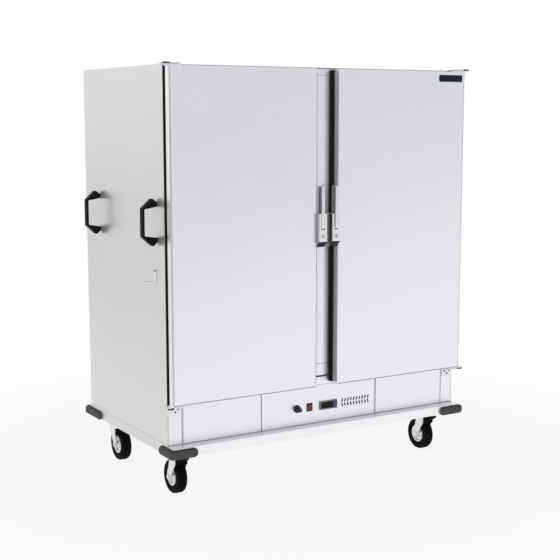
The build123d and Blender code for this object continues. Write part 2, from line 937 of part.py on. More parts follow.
# Bridge handles, two on each end.
handle_z = deck_top + handle_rise
handle_profile = []
for out, rise in (
    (0, handle_inner_half),
    (0, handle_foot_half),
    (handle_knee_out, handle_knee_half),
    (handle_reach, handle_grip_half),
    (handle_reach, -handle_grip_half),
    (handle_knee_out, -handle_knee_half),
    (0, -handle_foot_half),
    (0, -handle_inner_half),
    (handle_reach - handle_grip, -handle_inner_grip_half),
    (handle_reach - handle_grip, handle_inner_grip_half),
):
    handle_profile.append((half + out, handle_z + rise))
handles = []
for handle_y in (front + handle_front_y, front + handle_front_y + handle_pitch):
    handle = prism_y(handle_profile, handle_y - handle_width / 2, handle_y + handle_width / 2)
    long_edges = handle.edges().filter_by(Axis.Y)
    outer_edges = long_edges.group_by(Axis.X)[-1] + long_edges.group_by(Axis.Z)[0]
    handle = fillet(outer_edges + long_edges.group_by(Axis.Z)[-1], handle_corner)
    handles += [handle, mirrored(handle)]
save_group(handles, "push_handles")

# Cord hook on the left end.
hook_z = deck_top + hook_rise
hook_rod_z = hook_z - hook_plate_height / 2 + 2 * hook_rod_radius
hook_centre_y = front + hook_y
hook_face = -half - hook_plate
hook_end = -half - hook_reach
hook = block(
    hook_face, -half,
    hook_centre_y - hook_plate_width / 2, hook_centre_y + hook_plate_width / 2,
    hook_z - hook_plate_height / 2, hook_z + hook_plate_height / 2,
)
hook += rod_x(hook_rod_radius, hook_end, hook_face, hook_centre_y, hook_rod_z)
hook += Pos(hook_end, hook_centre_y, hook_rod_z) * Sphere(hook_rod_radius)
hook += rod_z(hook_rod_radius, hook_end, hook_centre_y, hook_rod_z, hook_rod_z + hook_tip)
hook += Pos(hook_end, hook_centre_y, hook_rod_z + hook_tip) * Sphere(hook_rod_radius)
save(hook, "cord_hook")

# Hinge brackets with their pins, drawn for the right door.
stadium_in = half - hinge_length
seat_back = front + hinge_seat
flange_in = half - post_width + hinge_margin
flange_out = half - hinge_margin
flange_front = front - hinge_plate


def hinge_stadium(x0, z0, z1):
    strip = block(x0, pivot_x, pivot_y - hinge_half, pivot_y + hinge_half, z0, z1)
    return strip + rod_z(hinge_nose, pivot_x, pivot_y, z0, z1)


top_plate = body_top + hinge_plate
top_bracket = hinge_stadium(stadium_in, body_top, top_plate)
top_bracket += block(stadium_in, flange_out, pivot_y, seat_back, body_top, top_plate)
top_bracket += rod_z(pin_radius, pivot_x, pivot_y, door_top - pin_tail, top_plate)
top_bracket += rod_z(pin_head_radius, pivot_x, pivot_y, top_plate, top_plate + pin_head)

low_top = door_bottom - hinge_plate - hinge_gap
low_bottom = low_top - hinge_plate
low_bracket = hinge_stadium(stadium_in, low_bottom, low_top)
low_bracket += block(flange_in, flange_out, pivot_y, front, low_bottom, low_top)
low_bracket += block(flange_in, flange_out, flange_front, front, low_top - hinge_flange, low_top)
low_bracket += rod_z(pin_radius, pivot_x, pivot_y, low_bottom, door_bottom + pin_tail)
low_bracket += rod_z(pin_head_radius, pivot_x, pivot_y, low_bottom - pin_head, low_bottom)
save_group(
    [top_bracket, mirrored(top_bracket), low_bracket, mirrored(low_bracket)], "hinge_brackets"
)

screws = []
screw_z = (low_bottom + low_top - hinge_flange) / 2
low_places = [
    (flange_in + screw_margin, screw_z + screw_step / 2),
    (flange_out - screw_margin, screw_z + screw_step / 2),
    ((flange_in + flange_out) / 2, screw_z - screw_step / 2),
]
for screw_x, place_z in low_places:
    low_screw = rod_y(screw_radius, screw_x, flange_front - screw_head, flange_front, place_z)
    screws += [low_screw, mirrored(low_screw)]
for screw_x in (flange_in + screw_margin, flange_out - screw_margin):
    top_screw = rod_z(screw_radius, screw_x, seat_back - screw_margin, top_plate, top_plate + screw_head)
    screws += [top_screw, mirrored(top_screw)]
hook_screw_z = hook_z + hook_plate_height / 2 - 2 * screw_radius
screws.append(rod_x(screw_radius, hook_face - screw_head, hook_face, hook_centre_y, hook_screw_z))
save_group(screws, "cabinet_screws")

# Doors, drawn for the right side and mirrored for the left.
skin = block(door_half_gap, door_out, door_front, door_rear, door_bottom, door_top)
skin = fillet(skin.faces().sort_by(Axis.Y)[0].edges(), door_edge_radius)
skin -= block(
    door_half_gap + sheet, door_out - sheet,
    door_front + sheet, door_rear,
    door_bottom + sheet, door_top - sheet,
)
for arm_bottom in (door_top, door_bottom - hinge_plate):
    arm_top = arm_bottom + hinge_plate
    arm = hinge_stadium(stadium_in, arm_bottom, arm_top)
    skin += arm - rod_z(pin_radius + running_fit, pivot_x, pivot_y, arm_bottom, arm_top)

inner_skin = block(
    door_half_gap + sheet, door_out - sheet,
    door_rear - sheet, door_rear,
    door_bottom + sheet, door_top - sheet,
)
core = block(
    door_half_gap + sheet, door_out - sheet,
    door_front + sheet, door_rear - sheet,
    door_bottom + sheet, door_top - sheet,
)
gasket_in = door_half_gap - gasket_lip
gasket_out = door_out - gasket_inset
gasket_back = front - gasket_clearance
gasket_low = door_bottom + gasket_inset
gasket_high = door_top - gasket_inset
gasket = block(gasket_in, gasket_out, door_rear, gasket_back, gasket_low, gasket_high)
gasket -= block(
    gasket_in + gasket_width, gasket_out - gasket_width,
    door_rear, gasket_back,
    gasket_low + gasket_width, gasket_high - gasket_width,
)

lever_z = door_bottom + lever_rise
lever_front = door_front - latch_proud
lever_axis_y = lever_front + lever_thickness / 2
latch_front = lever_front + latch_lever_lead
latch_rear = door_rear - latch_rear_gap
latch_in = door_half_gap - latch_width
latch_x = door_half_gap - latch_width / 2
latch_top = lever_z + latch_above
latch_front_bottom = lever_z - latch_below
latch_bottom = latch_front_bottom - latch_chamfer
housing = prism_x(
    [
        (latch_front, latch_front_bottom),
        (latch_front, latch_top),
        (latch_rear, latch_top),
        (latch_rear, latch_bottom),
        (latch_front + latch_chamfer, latch_bottom),
    ],
    latch_in, door_half_gap,
)
channel_half = lever_width / 2 + lever_side_gap
channel_back = lever_front + lever_thickness + lever_back_gap
housing -= block(
    latch_x - channel_half, latch_x + channel_half,
    latch_front, channel_back,
    lever_z - lever_thickness / 2 - lever_back_gap, latch_top,
)
housing += rod_x(
    lever_pin_radius, latch_x - channel_half - lever_pin_radius,
    latch_x + channel_half + lever_pin_radius, lever_axis_y, lever_z,
)
lock_z = lever_z - lock_drop
housing -= rod_y(lock_radius + running_fit, latch_x, latch_front, latch_front + lock_depth, lock_z)

lever = block(
    latch_x - lever_width / 2, latch_x + lever_width / 2,
    lever_front, lever_front + lever_thickness,
    lever_z, lever_z + lever_length,
)
lever = fillet(lever.faces().sort_by(Axis.Z)[-1].edges(), lever_corner)
lever += rod_x(
    lever_thickness / 2, latch_x - lever_width / 2, latch_x + lever_width / 2, lever_axis_y, lever_z
)
lever -= rod_x(
    lever_pin_radius + running_fit,
    latch_x - lever_width / 2, latch_x + lever_width / 2, lever_axis_y, lever_z,
)

lock_back = latch_front + lock_depth - lever_side_gap
lock = rod_y(lock_radius, latch_x, latch_front - lock_proud, lock_back, lock_z)
lock -= block(
    latch_x - key_slot_width / 2, latch_x + key_slot_width / 2,
    latch_front - lock_proud, latch_front + lock_depth / 2,
    lock_z - key_slot_height / 2, lock_z + key_slot_height / 2,
)

door_pieces = {
    "door_skin": skin,
    "door_inner_skin": inner_skin,
    "door_core": core,
    "door_gasket": gasket,
    "latch_housing": housing,
    "latch_lever": lever,
    "lock_cylinder": lock,
}
for piece, shape in door_pieces.items():
    save(shape, f"right_{piece}")
    save(mirrored(shape), f"left_{piece}")

badge_out = door_out - badge_side
badge_high = door_top - badge_top
badge = block(
    badge_out - badge_width, badge_out,
    door_front - badge_thickness, door_front,
    badge_high - badge_height, badge_high,
)
badge = fillet(badge.edges().filter_by(Axis.Y), badge_corner)
save(badge, "badge_plate")
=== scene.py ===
import json
import math

import bmesh
import bpy
import numpy as np
from mathutils import Matrix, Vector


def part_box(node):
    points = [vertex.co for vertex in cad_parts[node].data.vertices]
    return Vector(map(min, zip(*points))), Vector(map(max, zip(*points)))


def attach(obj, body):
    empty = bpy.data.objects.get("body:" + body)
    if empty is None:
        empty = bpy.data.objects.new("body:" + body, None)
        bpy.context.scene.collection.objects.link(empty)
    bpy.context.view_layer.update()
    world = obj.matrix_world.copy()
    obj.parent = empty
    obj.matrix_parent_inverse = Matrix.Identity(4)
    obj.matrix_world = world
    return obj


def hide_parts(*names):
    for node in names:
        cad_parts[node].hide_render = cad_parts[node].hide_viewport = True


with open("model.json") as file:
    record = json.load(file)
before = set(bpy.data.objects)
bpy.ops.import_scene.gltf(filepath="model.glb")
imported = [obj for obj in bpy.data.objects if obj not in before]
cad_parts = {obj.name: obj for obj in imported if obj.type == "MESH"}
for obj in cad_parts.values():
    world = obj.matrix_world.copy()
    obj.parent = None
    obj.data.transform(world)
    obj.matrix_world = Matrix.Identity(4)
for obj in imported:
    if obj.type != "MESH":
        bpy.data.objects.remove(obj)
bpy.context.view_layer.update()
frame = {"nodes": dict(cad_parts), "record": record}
nodes = frame["nodes"]
slotOf = {part["node"]: part["material_slot"] for part in frame["record"]["subparts"]}
bodyOf = {node: body for body, group in frame["record"]["behaviour"]["bodies"].items() for node in group}
print("frame loaded:", len(nodes), "nodes")


# Shader wiring.

class Wire:  # one socket's value, so that shader maths reads as an expression
    def __init__(self, finish, socket):
        self.finish = finish
        self.socket = socket

    def calc(self, operation, first, second):
        return self.finish.node("ShaderNodeMath", {0: first, 1: second}, operation=operation)

    def __abs__(self):
        return self.calc("ABSOLUTE", self, 0.0)

    def __add__(self, other):
        return self.calc("ADD", self, other)

    def __radd__(self, other):
        return self.calc("ADD", other, self)

    def __sub__(self, other):
        return self.calc("SUBTRACT", self, other)

    def __rsub__(self, other):
        return self.calc("SUBTRACT", other, self)

    def __mul__(self, other):
        return self.calc("MULTIPLY", self, other)


class Finish:  # one material's or world's node tree that is being filled
    def __init__(self, owner):
        owner.use_nodes = True
        self.owner = owner
        self.tree = owner.node_tree
        self.tree.nodes.clear()

    def node(self, kind, inputs=None, output=0, **settings):
        made = self.tree.nodes.new(kind)
        for key, value in settings.items():
            setattr(made, key, value)
        for key, value in (inputs or {}).items():
            if isinstance(value, Wire):
                self.tree.links.new(value.socket, made.inputs[key])
            else:
                made.inputs[key].default_value = value
        return Wire(self, made.outputs[output]) if len(made.outputs) else None

    def place(self, space="Object"):
        return self.node("ShaderNodeTexCoord", output=space)

    def along(self, axis, space="Object"):
        return self.node("ShaderNodeSeparateXYZ", {0: self.place(space)}, axis)

    def noise(self, where, scale, detail, rough):
        return self.node("ShaderNodeTexNoise",
                         {"Vector": where, "Scale": scale, "Detail": detail, "Roughness": rough})

    def streaks(self, where, stretch, detail, rough):
        drawn = self.node("ShaderNodeMapping", {"Vector": where, "Scale": stretch})
        return self.noise(drawn, 1.0, detail, rough)

    def ramp(self, value, low, high):
        made = self.node("ShaderNodeValToRGB", {"Fac": value})
        for element, position in zip(made.socket.node.color_ramp.elements, (low, high)):
            element.position = position
        return made

    def span(self, value, low, high, least=0.0):
        return self.node("ShaderNodeMapRange",
                         {"Value": value, "From Min": low, "From Max": high, "To Min": least})

    def blend(self, mask, first, second):
        return self.node("ShaderNodeMix", {0: mask, 6: first, 7: second}, 2, data_type="RGBA")

    def shaded(self, mask, look):
        return self.blend(mask, rgba(look["tint"], look["dark"]), rgba(look["tint"], look["bright"]))

    def mix(self, mask, first, second):
        return self.node("ShaderNodeMixShader", {0: mask, 1: first, 2: second})

    def ray(self, kind):
        return self.node("ShaderNodeLightPath", output="Is " + kind + " Ray")

    def glow(self, kind, tint, strength):
        return self.node(kind, {"Color": rgba(tint), "Strength": strength})

    def bump(self, height, strength, distance):
        return self.node("ShaderNodeBump", {"Height": height, "Strength": strength, "Distance": distance})

    def surface(self, inputs):
        shader = self.node("ShaderNodeBsdfPrincipled", inputs)
        self.node("ShaderNodeOutputMaterial", {"Surface": shader})
        return self.owner


def newFinish(name, usual, changes):
    finish = Finish(bpy.data.materials.new(name))
    return finish, finish.place(), {**usual, **changes}


def rgba(shade, gain=1.0):
    return tuple(min(1.0, channel * gain) for channel in shade) + (1.0,)


def even(level):
    return (level, level, level)


# Finishes. Each kind has a dictionary of its usual values, and a call names what differs.

steel = {
    "tint": (0.875, 0.885, 0.92), "vary": 0.015, "metallic": 1.0, "rough": 0.31, "streakRough": 0.1,
    "cloudRough": 0.08, "fleckRough": 0.05, "cloudScale": 2.6, "fleckScale": 55.0, "cloudShare": 0.6,
    "streakShare": 0.4, "wave": 0.5, "bump": 0.03, "relief": 0.0006, "grain": (900.0, 900.0, 9.0),
}


def satinSteel(name, **changes):
    # Fine streaks along the grain, cloudy handling marks and a slight change of tint. A piece with ends gets
    # painted
    # shade: it is darker towards them, and more matt where its ends say so.
    finish, where, look = newFinish(name, steel, changes)
    streak = finish.streaks(where, look["grain"], detail=4.0, rough=0.6)
    cloud = finish.noise(where, look["cloudScale"], detail=4.0, rough=0.6)
    fleck = finish.ramp(finish.noise(where, look["fleckScale"], detail=6.0, rough=0.7), low=0.62, high=0.78)
    mark = finish.ramp(cloud * look["cloudShare"] + streak * look["streakShare"], low=0.3, high=0.7)
    colour = finish.blend(mark, rgba(look["tint"], 1 - look["vary"]), rgba(look["tint"], 1 + look["vary"]))
    metallic = look["metallic"]
    # Painted shade: the colour darkens, and the metal turns more matt, towards the ends.
    if "ends" in look:
        ends = look["ends"]
        across = abs(finish.along("X")) if ends["both"] else finish.along("X")
        paintedEndShade = finish.ramp(across, ends["edge"] - ends["from"], ends["edge"] - ends["to"])
        colour = finish.blend(paintedEndShade, colour, rgba(look["tint"], ends["gain"]))
        if "matt" in ends:
            metallic = metallic - paintedEndShade * ends["matt"]
    rough = look["rough"] + (streak - 0.5) * look["streakRough"] + (cloud - 0.5) * look["cloudRough"]
    return finish.surface({
        "Base Color": colour,
        "Metallic": metallic,
        "Roughness": rough + fleck * look["fleckRough"],
        "Normal": finish.bump(streak + cloud * look["wave"], look["bump"], look["relief"]),
    })


chrome = {
    "tint": (0.835, 0.84, 0.85), "rough": 0.16, "dark": 0.93, "bright": 1.04, "hazeRough": 0.06,
    "scuffRough": 0.12, "scuffDeep": 0.3, "bump": 0.06, "relief": 0.0008, "scuff": (420.0, 420.0, 30.0),
    "flankFrom": 0.0004, "flankTo": 0.0034,
}


def polishedMetal(name, **changes):
    # Bright plating with faint haze and a few fine scuffs. A piece with a flank gets painted shade on its
    # left side.
    finish, where, look = newFinish(name, chrome, changes)
    haze = finish.noise(where, scale=38.0, detail=4.0, rough=0.6)
    scuff = finish.ramp(finish.streaks(where, look["scuff"], detail=4.0, rough=0.65), low=0.6, high=0.74)
    colour = finish.shaded(haze, look)
    if "flank" in look:
        # Painted shade: darker towards the left flank.
        inside = finish.ramp(finish.along("X") - look["flank"], look["flankFrom"], look["flankTo"])
        colour = finish.blend(inside, rgba(look["tint"], look["flankGain"]), colour)
    return finish.surface({
        "Base Color": colour,
        "Metallic": 1.0,
        "Roughness": look["rough"] + haze * look["hazeRough"] + scuff * look["scuffRough"],
        "Normal": finish.bump(haze + scuff * look["scuffDeep"], look["bump"], look["relief"]),
    })


plastic = {
    "rough": 0.5, "pebbleScale": 900.0, "bump": 0.05, "relief": 0.0004, "shine": 0.4, "rubRough": 0.1,
    "pebbleRough": 0.08,
}


def mouldedPlastic(name, **changes):
    # Fine pebble texture with slightly lighter rubbed patches.
    finish, where, look = newFinish(name, plastic, changes)
    cells = {"Vector": where, "Scale": look["pebbleScale"]}
    pebble = finish.node("ShaderNodeTexVoronoi", cells, feature="F1")
    rub = finish.ramp(finish.noise(where, scale=26.0, detail=5.0, rough=0.62), low=0.48, high=0.74)
    return finish.surface({
        "Base Color": finish.blend(rub, rgba(look["tint"]), rgba(look["worn"])),
        "Roughness": look["rough"] - rub * look["rubRough"] + pebble * look["pebbleRough"],
        "Specular IOR Level": look["shine"],
        "Normal": finish.bump(pebble, look["bump"], look["relief"]),
    })


rubber = {
    "rough": 0.55, "dust": 0.5, "bump": 0.08, "relief": 0.0005, "shine": 0.3, "dustRough": 0.12,
    "dustDeep": 0.5, "topFrom": 0.0075, "topTo": 0.002,
}


def dustyRubber(name, **changes):
    # Matt rubber: dense grain and greyer dust in the worn patches. A top colour is painted shade up there.
    finish, where, look = newFinish(name, rubber, changes)
    grain = finish.noise(where, scale=900.0, detail=3.0, rough=0.6)
    dust = finish.ramp(finish.noise(where, look["dustScale"], detail=5.0, rough=0.65), low=0.45, high=0.8)
    colour = finish.blend(dust * look["dust"], rgba(look["tint"]), rgba(look["worn"]))
    # Painted shade: a darker colour near the top.
    if "top" in look:
        paintedTopShade = finish.ramp(finish.along("Z"), look["topAt"] - look["topFrom"], look["topAt"] - look["topTo"])
        colour = finish.blend(paintedTopShade, colour, rgba(look["top"]))
    return finish.surface({
        "Base Color": colour,
        "Roughness": look["rough"] + dust * look["dustRough"],
        "Specular IOR Level": look["shine"],
        "Normal": finish.bump(grain + dust * look["dustDeep"], look["bump"], look["relief"]),
    })


wool = {
    "tint": (0.7, 0.56, 0.2), "fibre": (60.0, 60.0, 260.0), "fibreShare": 0.6, "clumpShare": 0.4, "dark": 0.7,
    "bright": 1.1, "rough": 0.9, "fibreRough": 0.08, "bump": 0.6, "relief": 0.002,
}


def woolFill(name, **changes):
    # Yellow mineral wool: drawn-out fibres over soft clumps.
    finish, where, look = newFinish(name, wool, changes)
    fibre = finish.streaks(where, look["fibre"], detail=6.0, rough=0.7)
    clump = finish.noise(where, scale=18.0, detail=4.0, rough=0.6)
    return finish.surface({
        "Base Color": finish.shaded(fibre * look["fibreShare"] + clump * look["clumpShare"], look),
        "Roughness": look["rough"] + fibre * look["fibreRough"],
        "Normal": finish.bump(fibre + clump, look["bump"], look["relief"]),
    })


gloss = {
    "rough": 0.3, "shine": 0.2, "coat": 0.0, "dark": 0.9, "bright": 1.15, "wipeRough": 0.08, "bump": 0.02,
    "relief": 0.0004, "wipe": (300.0, 300.0, 40.0),
}


def glossPanel(name, **changes):
    # Smooth lacquered or glassy plastic with faint wiping marks.
    finish, where, look = newFinish(name, gloss, changes)
    wipe = finish.streaks(where, look["wipe"], detail=4.0, rough=0.6)
    return finish.surface({
        "Base Color": finish.shaded(wipe, look),
        "Roughness": look["rough"] + wipe * look["wipeRough"],
        "Specular IOR Level": look["shine"],
        "Coat Weight": look["coat"],
        "Normal": finish.bump(wipe, look["bump"], look["relief"]),
    })


sideways = (9.0, 900.0, 900.0)
# Painted shade: the base frame darkens towards both ends, the mullion cover towards its right edge.
frameEndShade = {"both": True, "edge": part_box("base_frame")[1].x, "from": 0.002, "to": 0.0005, "gain": 0.66}
coverEdgeShade = {"both": False, "edge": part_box("mullion_cover")[1].x, "from": 0.036, "to": 0.012, "gain": 0.72,
             "matt": 0.8}
finishes = {
    "stainless": satinSteel("satinStainless"),
    "liner_steel": satinSteel("linerSteel", tint=(0.72, 0.725, 0.735), rough=0.42, grain=sideways),
    "frame_steel": satinSteel("frameSteel", tint=(0.95, 0.955, 0.97), rough=0.4, grain=sideways,
                              ends=frameEndShade),
    "hinge_steel": satinSteel("hingeSteel", tint=(0.84, 0.845, 0.86), rough=0.34, vary=0.03),
    "caster_zinc": satinSteel("casterZinc", tint=(0.80, 0.81, 0.82), rough=0.38, vary=0.05, cloudScale=30.0,
                              grain=even(240.0)),
    "caster_rim": satinSteel("casterRim", tint=(0.80, 0.81, 0.82), rough=0.36, vary=0.05, cloudScale=40.0,
                             grain=even(300.0)),
    "heater_steel": satinSteel("heaterSteel", tint=(0.22, 0.2, 0.19), rough=0.5, vary=0.2, cloudScale=24.0),
    "post_aluminium": satinSteel("postAluminium", tint=(0.74, 0.745, 0.75), rough=0.4),
    "fan_aluminium": satinSteel("fanAluminium", tint=(0.72, 0.725, 0.73), rough=0.38),
    "latch_chrome": polishedMetal("latchChrome"),
    "shelf_chrome": polishedMetal("shelfChrome", tint=(0.76, 0.765, 0.775)),
    "pedal_black": mouldedPlastic("pedalCoat", tint=even(0.004), worn=even(0.014),
                                  rough=0.6, pebbleScale=700.0, bump=0.1, shine=0.03),
    # Painted shade: the bumpers' darker top colour.
    "bumper_grey": dustyRubber("bumperRubber", tint=(0.078, 0.078, 0.080), worn=even(0.15),
                               top=(0.030, 0.030, 0.031), topAt=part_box("corner_bumpers")[1].z, rough=0.6,
                               dustScale=14.0, bump=0.12),
    "gasket_black": dustyRubber("gasketRubber", tint=(0.012, 0.012, 0.013), worn=even(0.05),
                                dustScale=20.0, dust=0.25, shine=0.12),
    "tyre_black": dustyRubber("tyreRubber", tint=even(0.003), worn=(0.016, 0.0155, 0.015), rough=0.66,
                              dustScale=34.0, dust=0.4, bump=0.15, shine=0.06),
    "handle_black": mouldedPlastic("handlePlastic", tint=(0.007, 0.006, 0.006), worn=(0.018, 0.017, 0.017),
                                   rough=0.46, bump=0.1, shine=0.07),
    "control_black": mouldedPlastic("controlPlastic", tint=(0.014, 0.014, 0.016), worn=(0.035, 0.035, 0.037),
                                    rough=0.4, pebbleScale=1400.0, bump=0.08, shine=0.25),
    "controller_grey": mouldedPlastic("controllerPlastic", tint=(0.22, 0.225, 0.23), worn=(0.27, 0.275, 0.28),
                                      rough=0.45, pebbleScale=1500.0, bump=0.08),
    "motor_grey": mouldedPlastic("motorPaint", tint=(0.06, 0.065, 0.07), worn=(0.1, 0.105, 0.11), rough=0.45,
                                 pebbleScale=500.0, bump=0.08),
    "rocker_red": glossPanel("rockerRed", tint=(0.27, 0.055, 0.035), rough=0.25, coat=0.1, shine=0.4),
    "window_black": glossPanel("windowBlack", tint=(0.006, 0.006, 0.009), rough=0.2, shine=0.12),
    "badge_navy": glossPanel("badgeNavy", tint=(0.010, 0.013, 0.034), shine=0.15),
    "insulation_wool": woolFill("insulationWool"),
}
# Painted shade: the side panels get a darker, less metallic copy of the stainless.
shadedSideFinish = satinSteel("shadedSideSteel", tint=(0.80, 0.805, 0.81), metallic=0.7)
# Painted shade: the lock cylinders get a darker copy of the latch chrome.
shadedLockFinish = polishedMetal("shadedLockChrome", tint=(0.56, 0.565, 0.575), rough=0.2)
ownFinish = {
    "left_side_panel": shadedSideFinish,
    "right_side_panel": shadedSideFinish,
    "mullion_cover": satinSteel("shadedCoverSteel", ends=coverEdgeShade),
    # Painted shade: the deck gets a darker copy of the frame steel.
    "base_deck": satinSteel("shadedDeckSteel", tint=(0.86, 0.865, 0.875), rough=0.4, grain=sideways),
    "left_lock_cylinder": shadedLockFinish,
    "right_lock_cylinder": shadedLockFinish,
}
# Painted shade: the latch housings and the right lever are darker on their left flanks.
flankGains = {"left_latch_housing": 0.58, "right_latch_housing": 0.42, "right_latch_lever": 0.35}
for node, gain in flankGains.items():
    ownFinish[node] = polishedMetal(node + "_chrome", flank=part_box(node)[0].x, flankGain=gain)
for node, shown in nodes.items():
    shown.data.materials.clear()
    shown.data.materials.append(ownFinish.get(node, finishes[slotOf[node]]))
print("finishes:", len(finishes) + len(ownFinish))


# Mesh making.

weld = {"piece": 2e-6, "sliver": 1e-6, "node": 4e-6}
square = np.array([[-1.0, -1.0], [1.0, -1.0], [1.0, 1.0], [-1.0, 1.0]])
frontward = ((1, 0, 0), (0, 0, 1), (0, -1, 0))


def gridFaces(points, loopU, loopV, start=0):
    # Joins a grid of points into quads; a loop closes the grid that way round.
    rows, columns = points.shape[:2]
    index = np.arange(start, start + rows * columns).reshape(rows, columns)
    if loopU:
        index = np.concatenate([index, index[:1]], 0)
    if loopV:
        index = np.concatenate([index, index[:, :1]], 1)
    quads = [index[:-1, :-1], index[1:, :-1], index[1:, 1:], index[:-1, 1:]]
    return np.stack(quads, -1).reshape(-1, 4)


def dressPiece(name, mesh, body, slot, replaced, sharp, finish):
    # Merges doubles, turns the faces outwards, shades by angle and seats the piece on its body.
    work = bmesh.new()
    work.from_mesh(mesh)
    bmesh.ops.remove_doubles(work, verts=work.verts, dist=weld["piece"])
    bmesh.ops.dissolve_degenerate(work, edges=work.edges, dist=weld["sliver"])
    bmesh.ops.recalc_face_normals(work, faces=work.faces)
    work.to_mesh(mesh)
    work.free()
    mesh.shade_smooth()
    mesh.set_sharp_from_angle(angle=math.radians(sharp))
    mesh.materials.clear()
    mesh.materials.append(finish or finishes[slot])
    shown = bpy.data.objects.new(name, mesh)
    bpy.context.scene.collection.objects.link(shown)
    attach(shown, body)
    if replaced:
        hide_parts(*replaced)
    return shown


def newPiece(name, grids, body, slot, replaced=(), sharp=40.0, finish=None):
    # Each grid is (points, loopU, loopV).
    points = []
    quads = []
    count = 0
    for grid, loopU, loopV in grids:
        quads.append(gridFaces(grid, loopU, loopV, count))
        points.append(grid.reshape(-1, 3))
        count += grid.shape[0] * grid.shape[1]
    mesh = bpy.data.meshes.new(name)
    mesh.from_pydata(np.concatenate(points).tolist(), [], np.concatenate(quads).tolist())
    dressPiece(name, mesh, body, slot, replaced, sharp, finish)


def fullTurn(count):
    return np.linspace(0.0, 2 * math.pi, count, endpoint=False)


def quarterTurn(count):
    return np.linspace(0.0, math.pi / 2, count)


def bell(value, at, wide):
    return np.exp(-(((value - at) / wide) ** 2))


def ringAt(x, y, z):
    return np.column_stack(np.broadcast_arrays(x, y, z))


def capped(rings):
    # Closes a run of rings with a flat fan at each end.
    first, last = (ring.mean(0, keepdims=True).repeat(len(ring), 0) for ring in (rings[0], rings[-1]))
    return np.stack([first, *rings, last]), False, True


def turned(profile, centre, axis, count):
    # Carries (radius, along) pairs round an axis through the centre: 0 is X, 1 is Y, 2 is Z.
    angle = fullTurn(count)[:, None]
    points = np.zeros((count, len(profile), 3))
    points[..., axis] = profile[:, 1]
    points[..., (axis + 1) % 3] = np.cos(angle) * profile[:, 0]
    points[..., (axis + 2) % 3] = np.sin(angle) * profile[:, 0]
    return points + np.array(centre, float)


def corners(node):
    low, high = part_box(node)
    return np.array(low), np.array(high)


def roundCorners(points, radius, steps):
    # Replaces each corner of a closed (n, 2) outline by a quadratic curve that starts a radius away.
    before = np.roll(points, 1, 0) - points
    after = np.roll(points, -1, 0) - points
    before = before / np.linalg.norm(before, axis=1, keepdims=True)
    after = after / np.linalg.norm(after, axis=1, keepdims=True)
    t = np.linspace(0.0, 1.0, steps)[None, :, None]
    first = (points + before * radius)[:, None, :]
    last = (points + after * radius)[:, None, :]
    corner = points[:, None, :]
    return ((1 - t) ** 2 * first + 2 * t * (1 - t) * corner + t ** 2 * last).reshape(-1, 2)


def roundedPlate(half, look):
    # A rectangle about the origin with rounded corners, from its half width and half height.
    return roundCorners(square * np.array(half), look["round"], look["steps"])


def slab(outline, layers, place, sideAxis, upAxis, outAxis):
    # Stacks shrunken copies of an (n, 2) outline; each layer is (inset factor, height along outAxis).
    sideAxis, upAxis, outAxis = (np.array(axis, float) for axis in (sideAxis, upAxis, outAxis))
    rings = []
    for factor, height in layers:
        ring = outline * factor
        rings.append(np.array(place) + ring[:, :1] * sideAxis + ring[:, 1:] * upAxis + height * outAxis)
    return np.stack(rings), False, True


def softened(node, width, segments=3, angle=35.0, shortest=0.0, flat=1.0):
    # Copies a node's triangles, joins them into flat faces and rounds the sharp edges that aren't too short.
    source = nodes[node].data
    points = np.zeros(len(source.vertices) * 3)
    source.vertices.foreach_get("co", points)
    work = bmesh.new()
    made = [work.verts.new(point) for point in points.reshape(-1, 3).tolist()]
    for polygon in source.polygons:
        if len(set(polygon.vertices)) > 2:
            work.faces.new([made[index] for index in polygon.vertices])
    bmesh.ops.remove_doubles(work, verts=work.verts, dist=weld["node"])
    bmesh.ops.dissolve_limit(work, angle_limit=math.radians(flat), verts=work.verts, edges=work.edges)
    weight = work.edges.layers.float.new("bevel_weight_edge")
    for edge in work.edges:
        sharp = edge.calc_face_angle(0.0) > math.radians(angle)
        edge[weight] = 1.0 if sharp and edge.calc_length() > shortest else 0.0
    mesh = bpy.data.meshes.new(node + "_soft")
    work.to_mesh(mesh)
    work.free()
    shown = dressPiece(node + "_soft", mesh, bodyOf[node], slotOf[node], [node], angle, ownFinish.get(node))
    bevel = shown.modifiers.new("edges", "BEVEL")
    bevel.width = width
    bevel.segments = segments
    bevel.limit_method = "WEIGHT"
    bevel.harden_normals = True


# Wheels.

places = ("front_left", "front_right", "rear_left", "rear_right")
tyre = {"power": 0.55, "groove": 0.0008, "grooveAt": 0.0075, "grooveWide": 0.0009, "treadFrom": 0.8,
        "ridge": 0.0003, "ridgeAt": 0.15, "ridgeWide": 0.12, "waist": 0.04, "waistWide": 0.3, "around": 96,
        "section": 72}


def signedPower(value, power):
    return np.sign(value) * np.abs(value) ** power


def buildTyre(place):
    # A superellipse section carried round the axle, with two tread grooves and a ridge on each wall.
    node = place + "_tyre"
    low, high = corners(node)
    rimLow, rimHigh = corners(place + "_rim")
    halfWide = (high[0] - low[0]) / 2
    outer = (high[2] - low[2]) / 2
    inner = (rimHigh[2] - rimLow[2]) / 2
    t = fullTurn(tyre["section"])
    lift = signedPower(np.cos(t), tyre["power"])
    across = halfWide * signedPower(np.sin(t), tyre["power"])
    tread = bell(np.abs(across), tyre["grooveAt"], tyre["grooveWide"]) * (lift > tyre["treadFrom"])
    radius = (outer + inner) / 2 + (outer - inner) / 2 * lift - tyre["groove"] * tread
    ridge = tyre["ridge"] * bell(lift, tyre["ridgeAt"], tyre["ridgeWide"]) * np.sign(across)
    across = across * (1 - tyre["waist"] * bell(lift, tyre["ridgeAt"], tyre["waistWide"])) + ridge
    grid = turned(np.column_stack([radius, across]), (low + high) / 2, 0, tyre["around"])
    newPiece(node + "_tread", [(grid, True, True)], bodyOf[node], "tyre_black", [node])


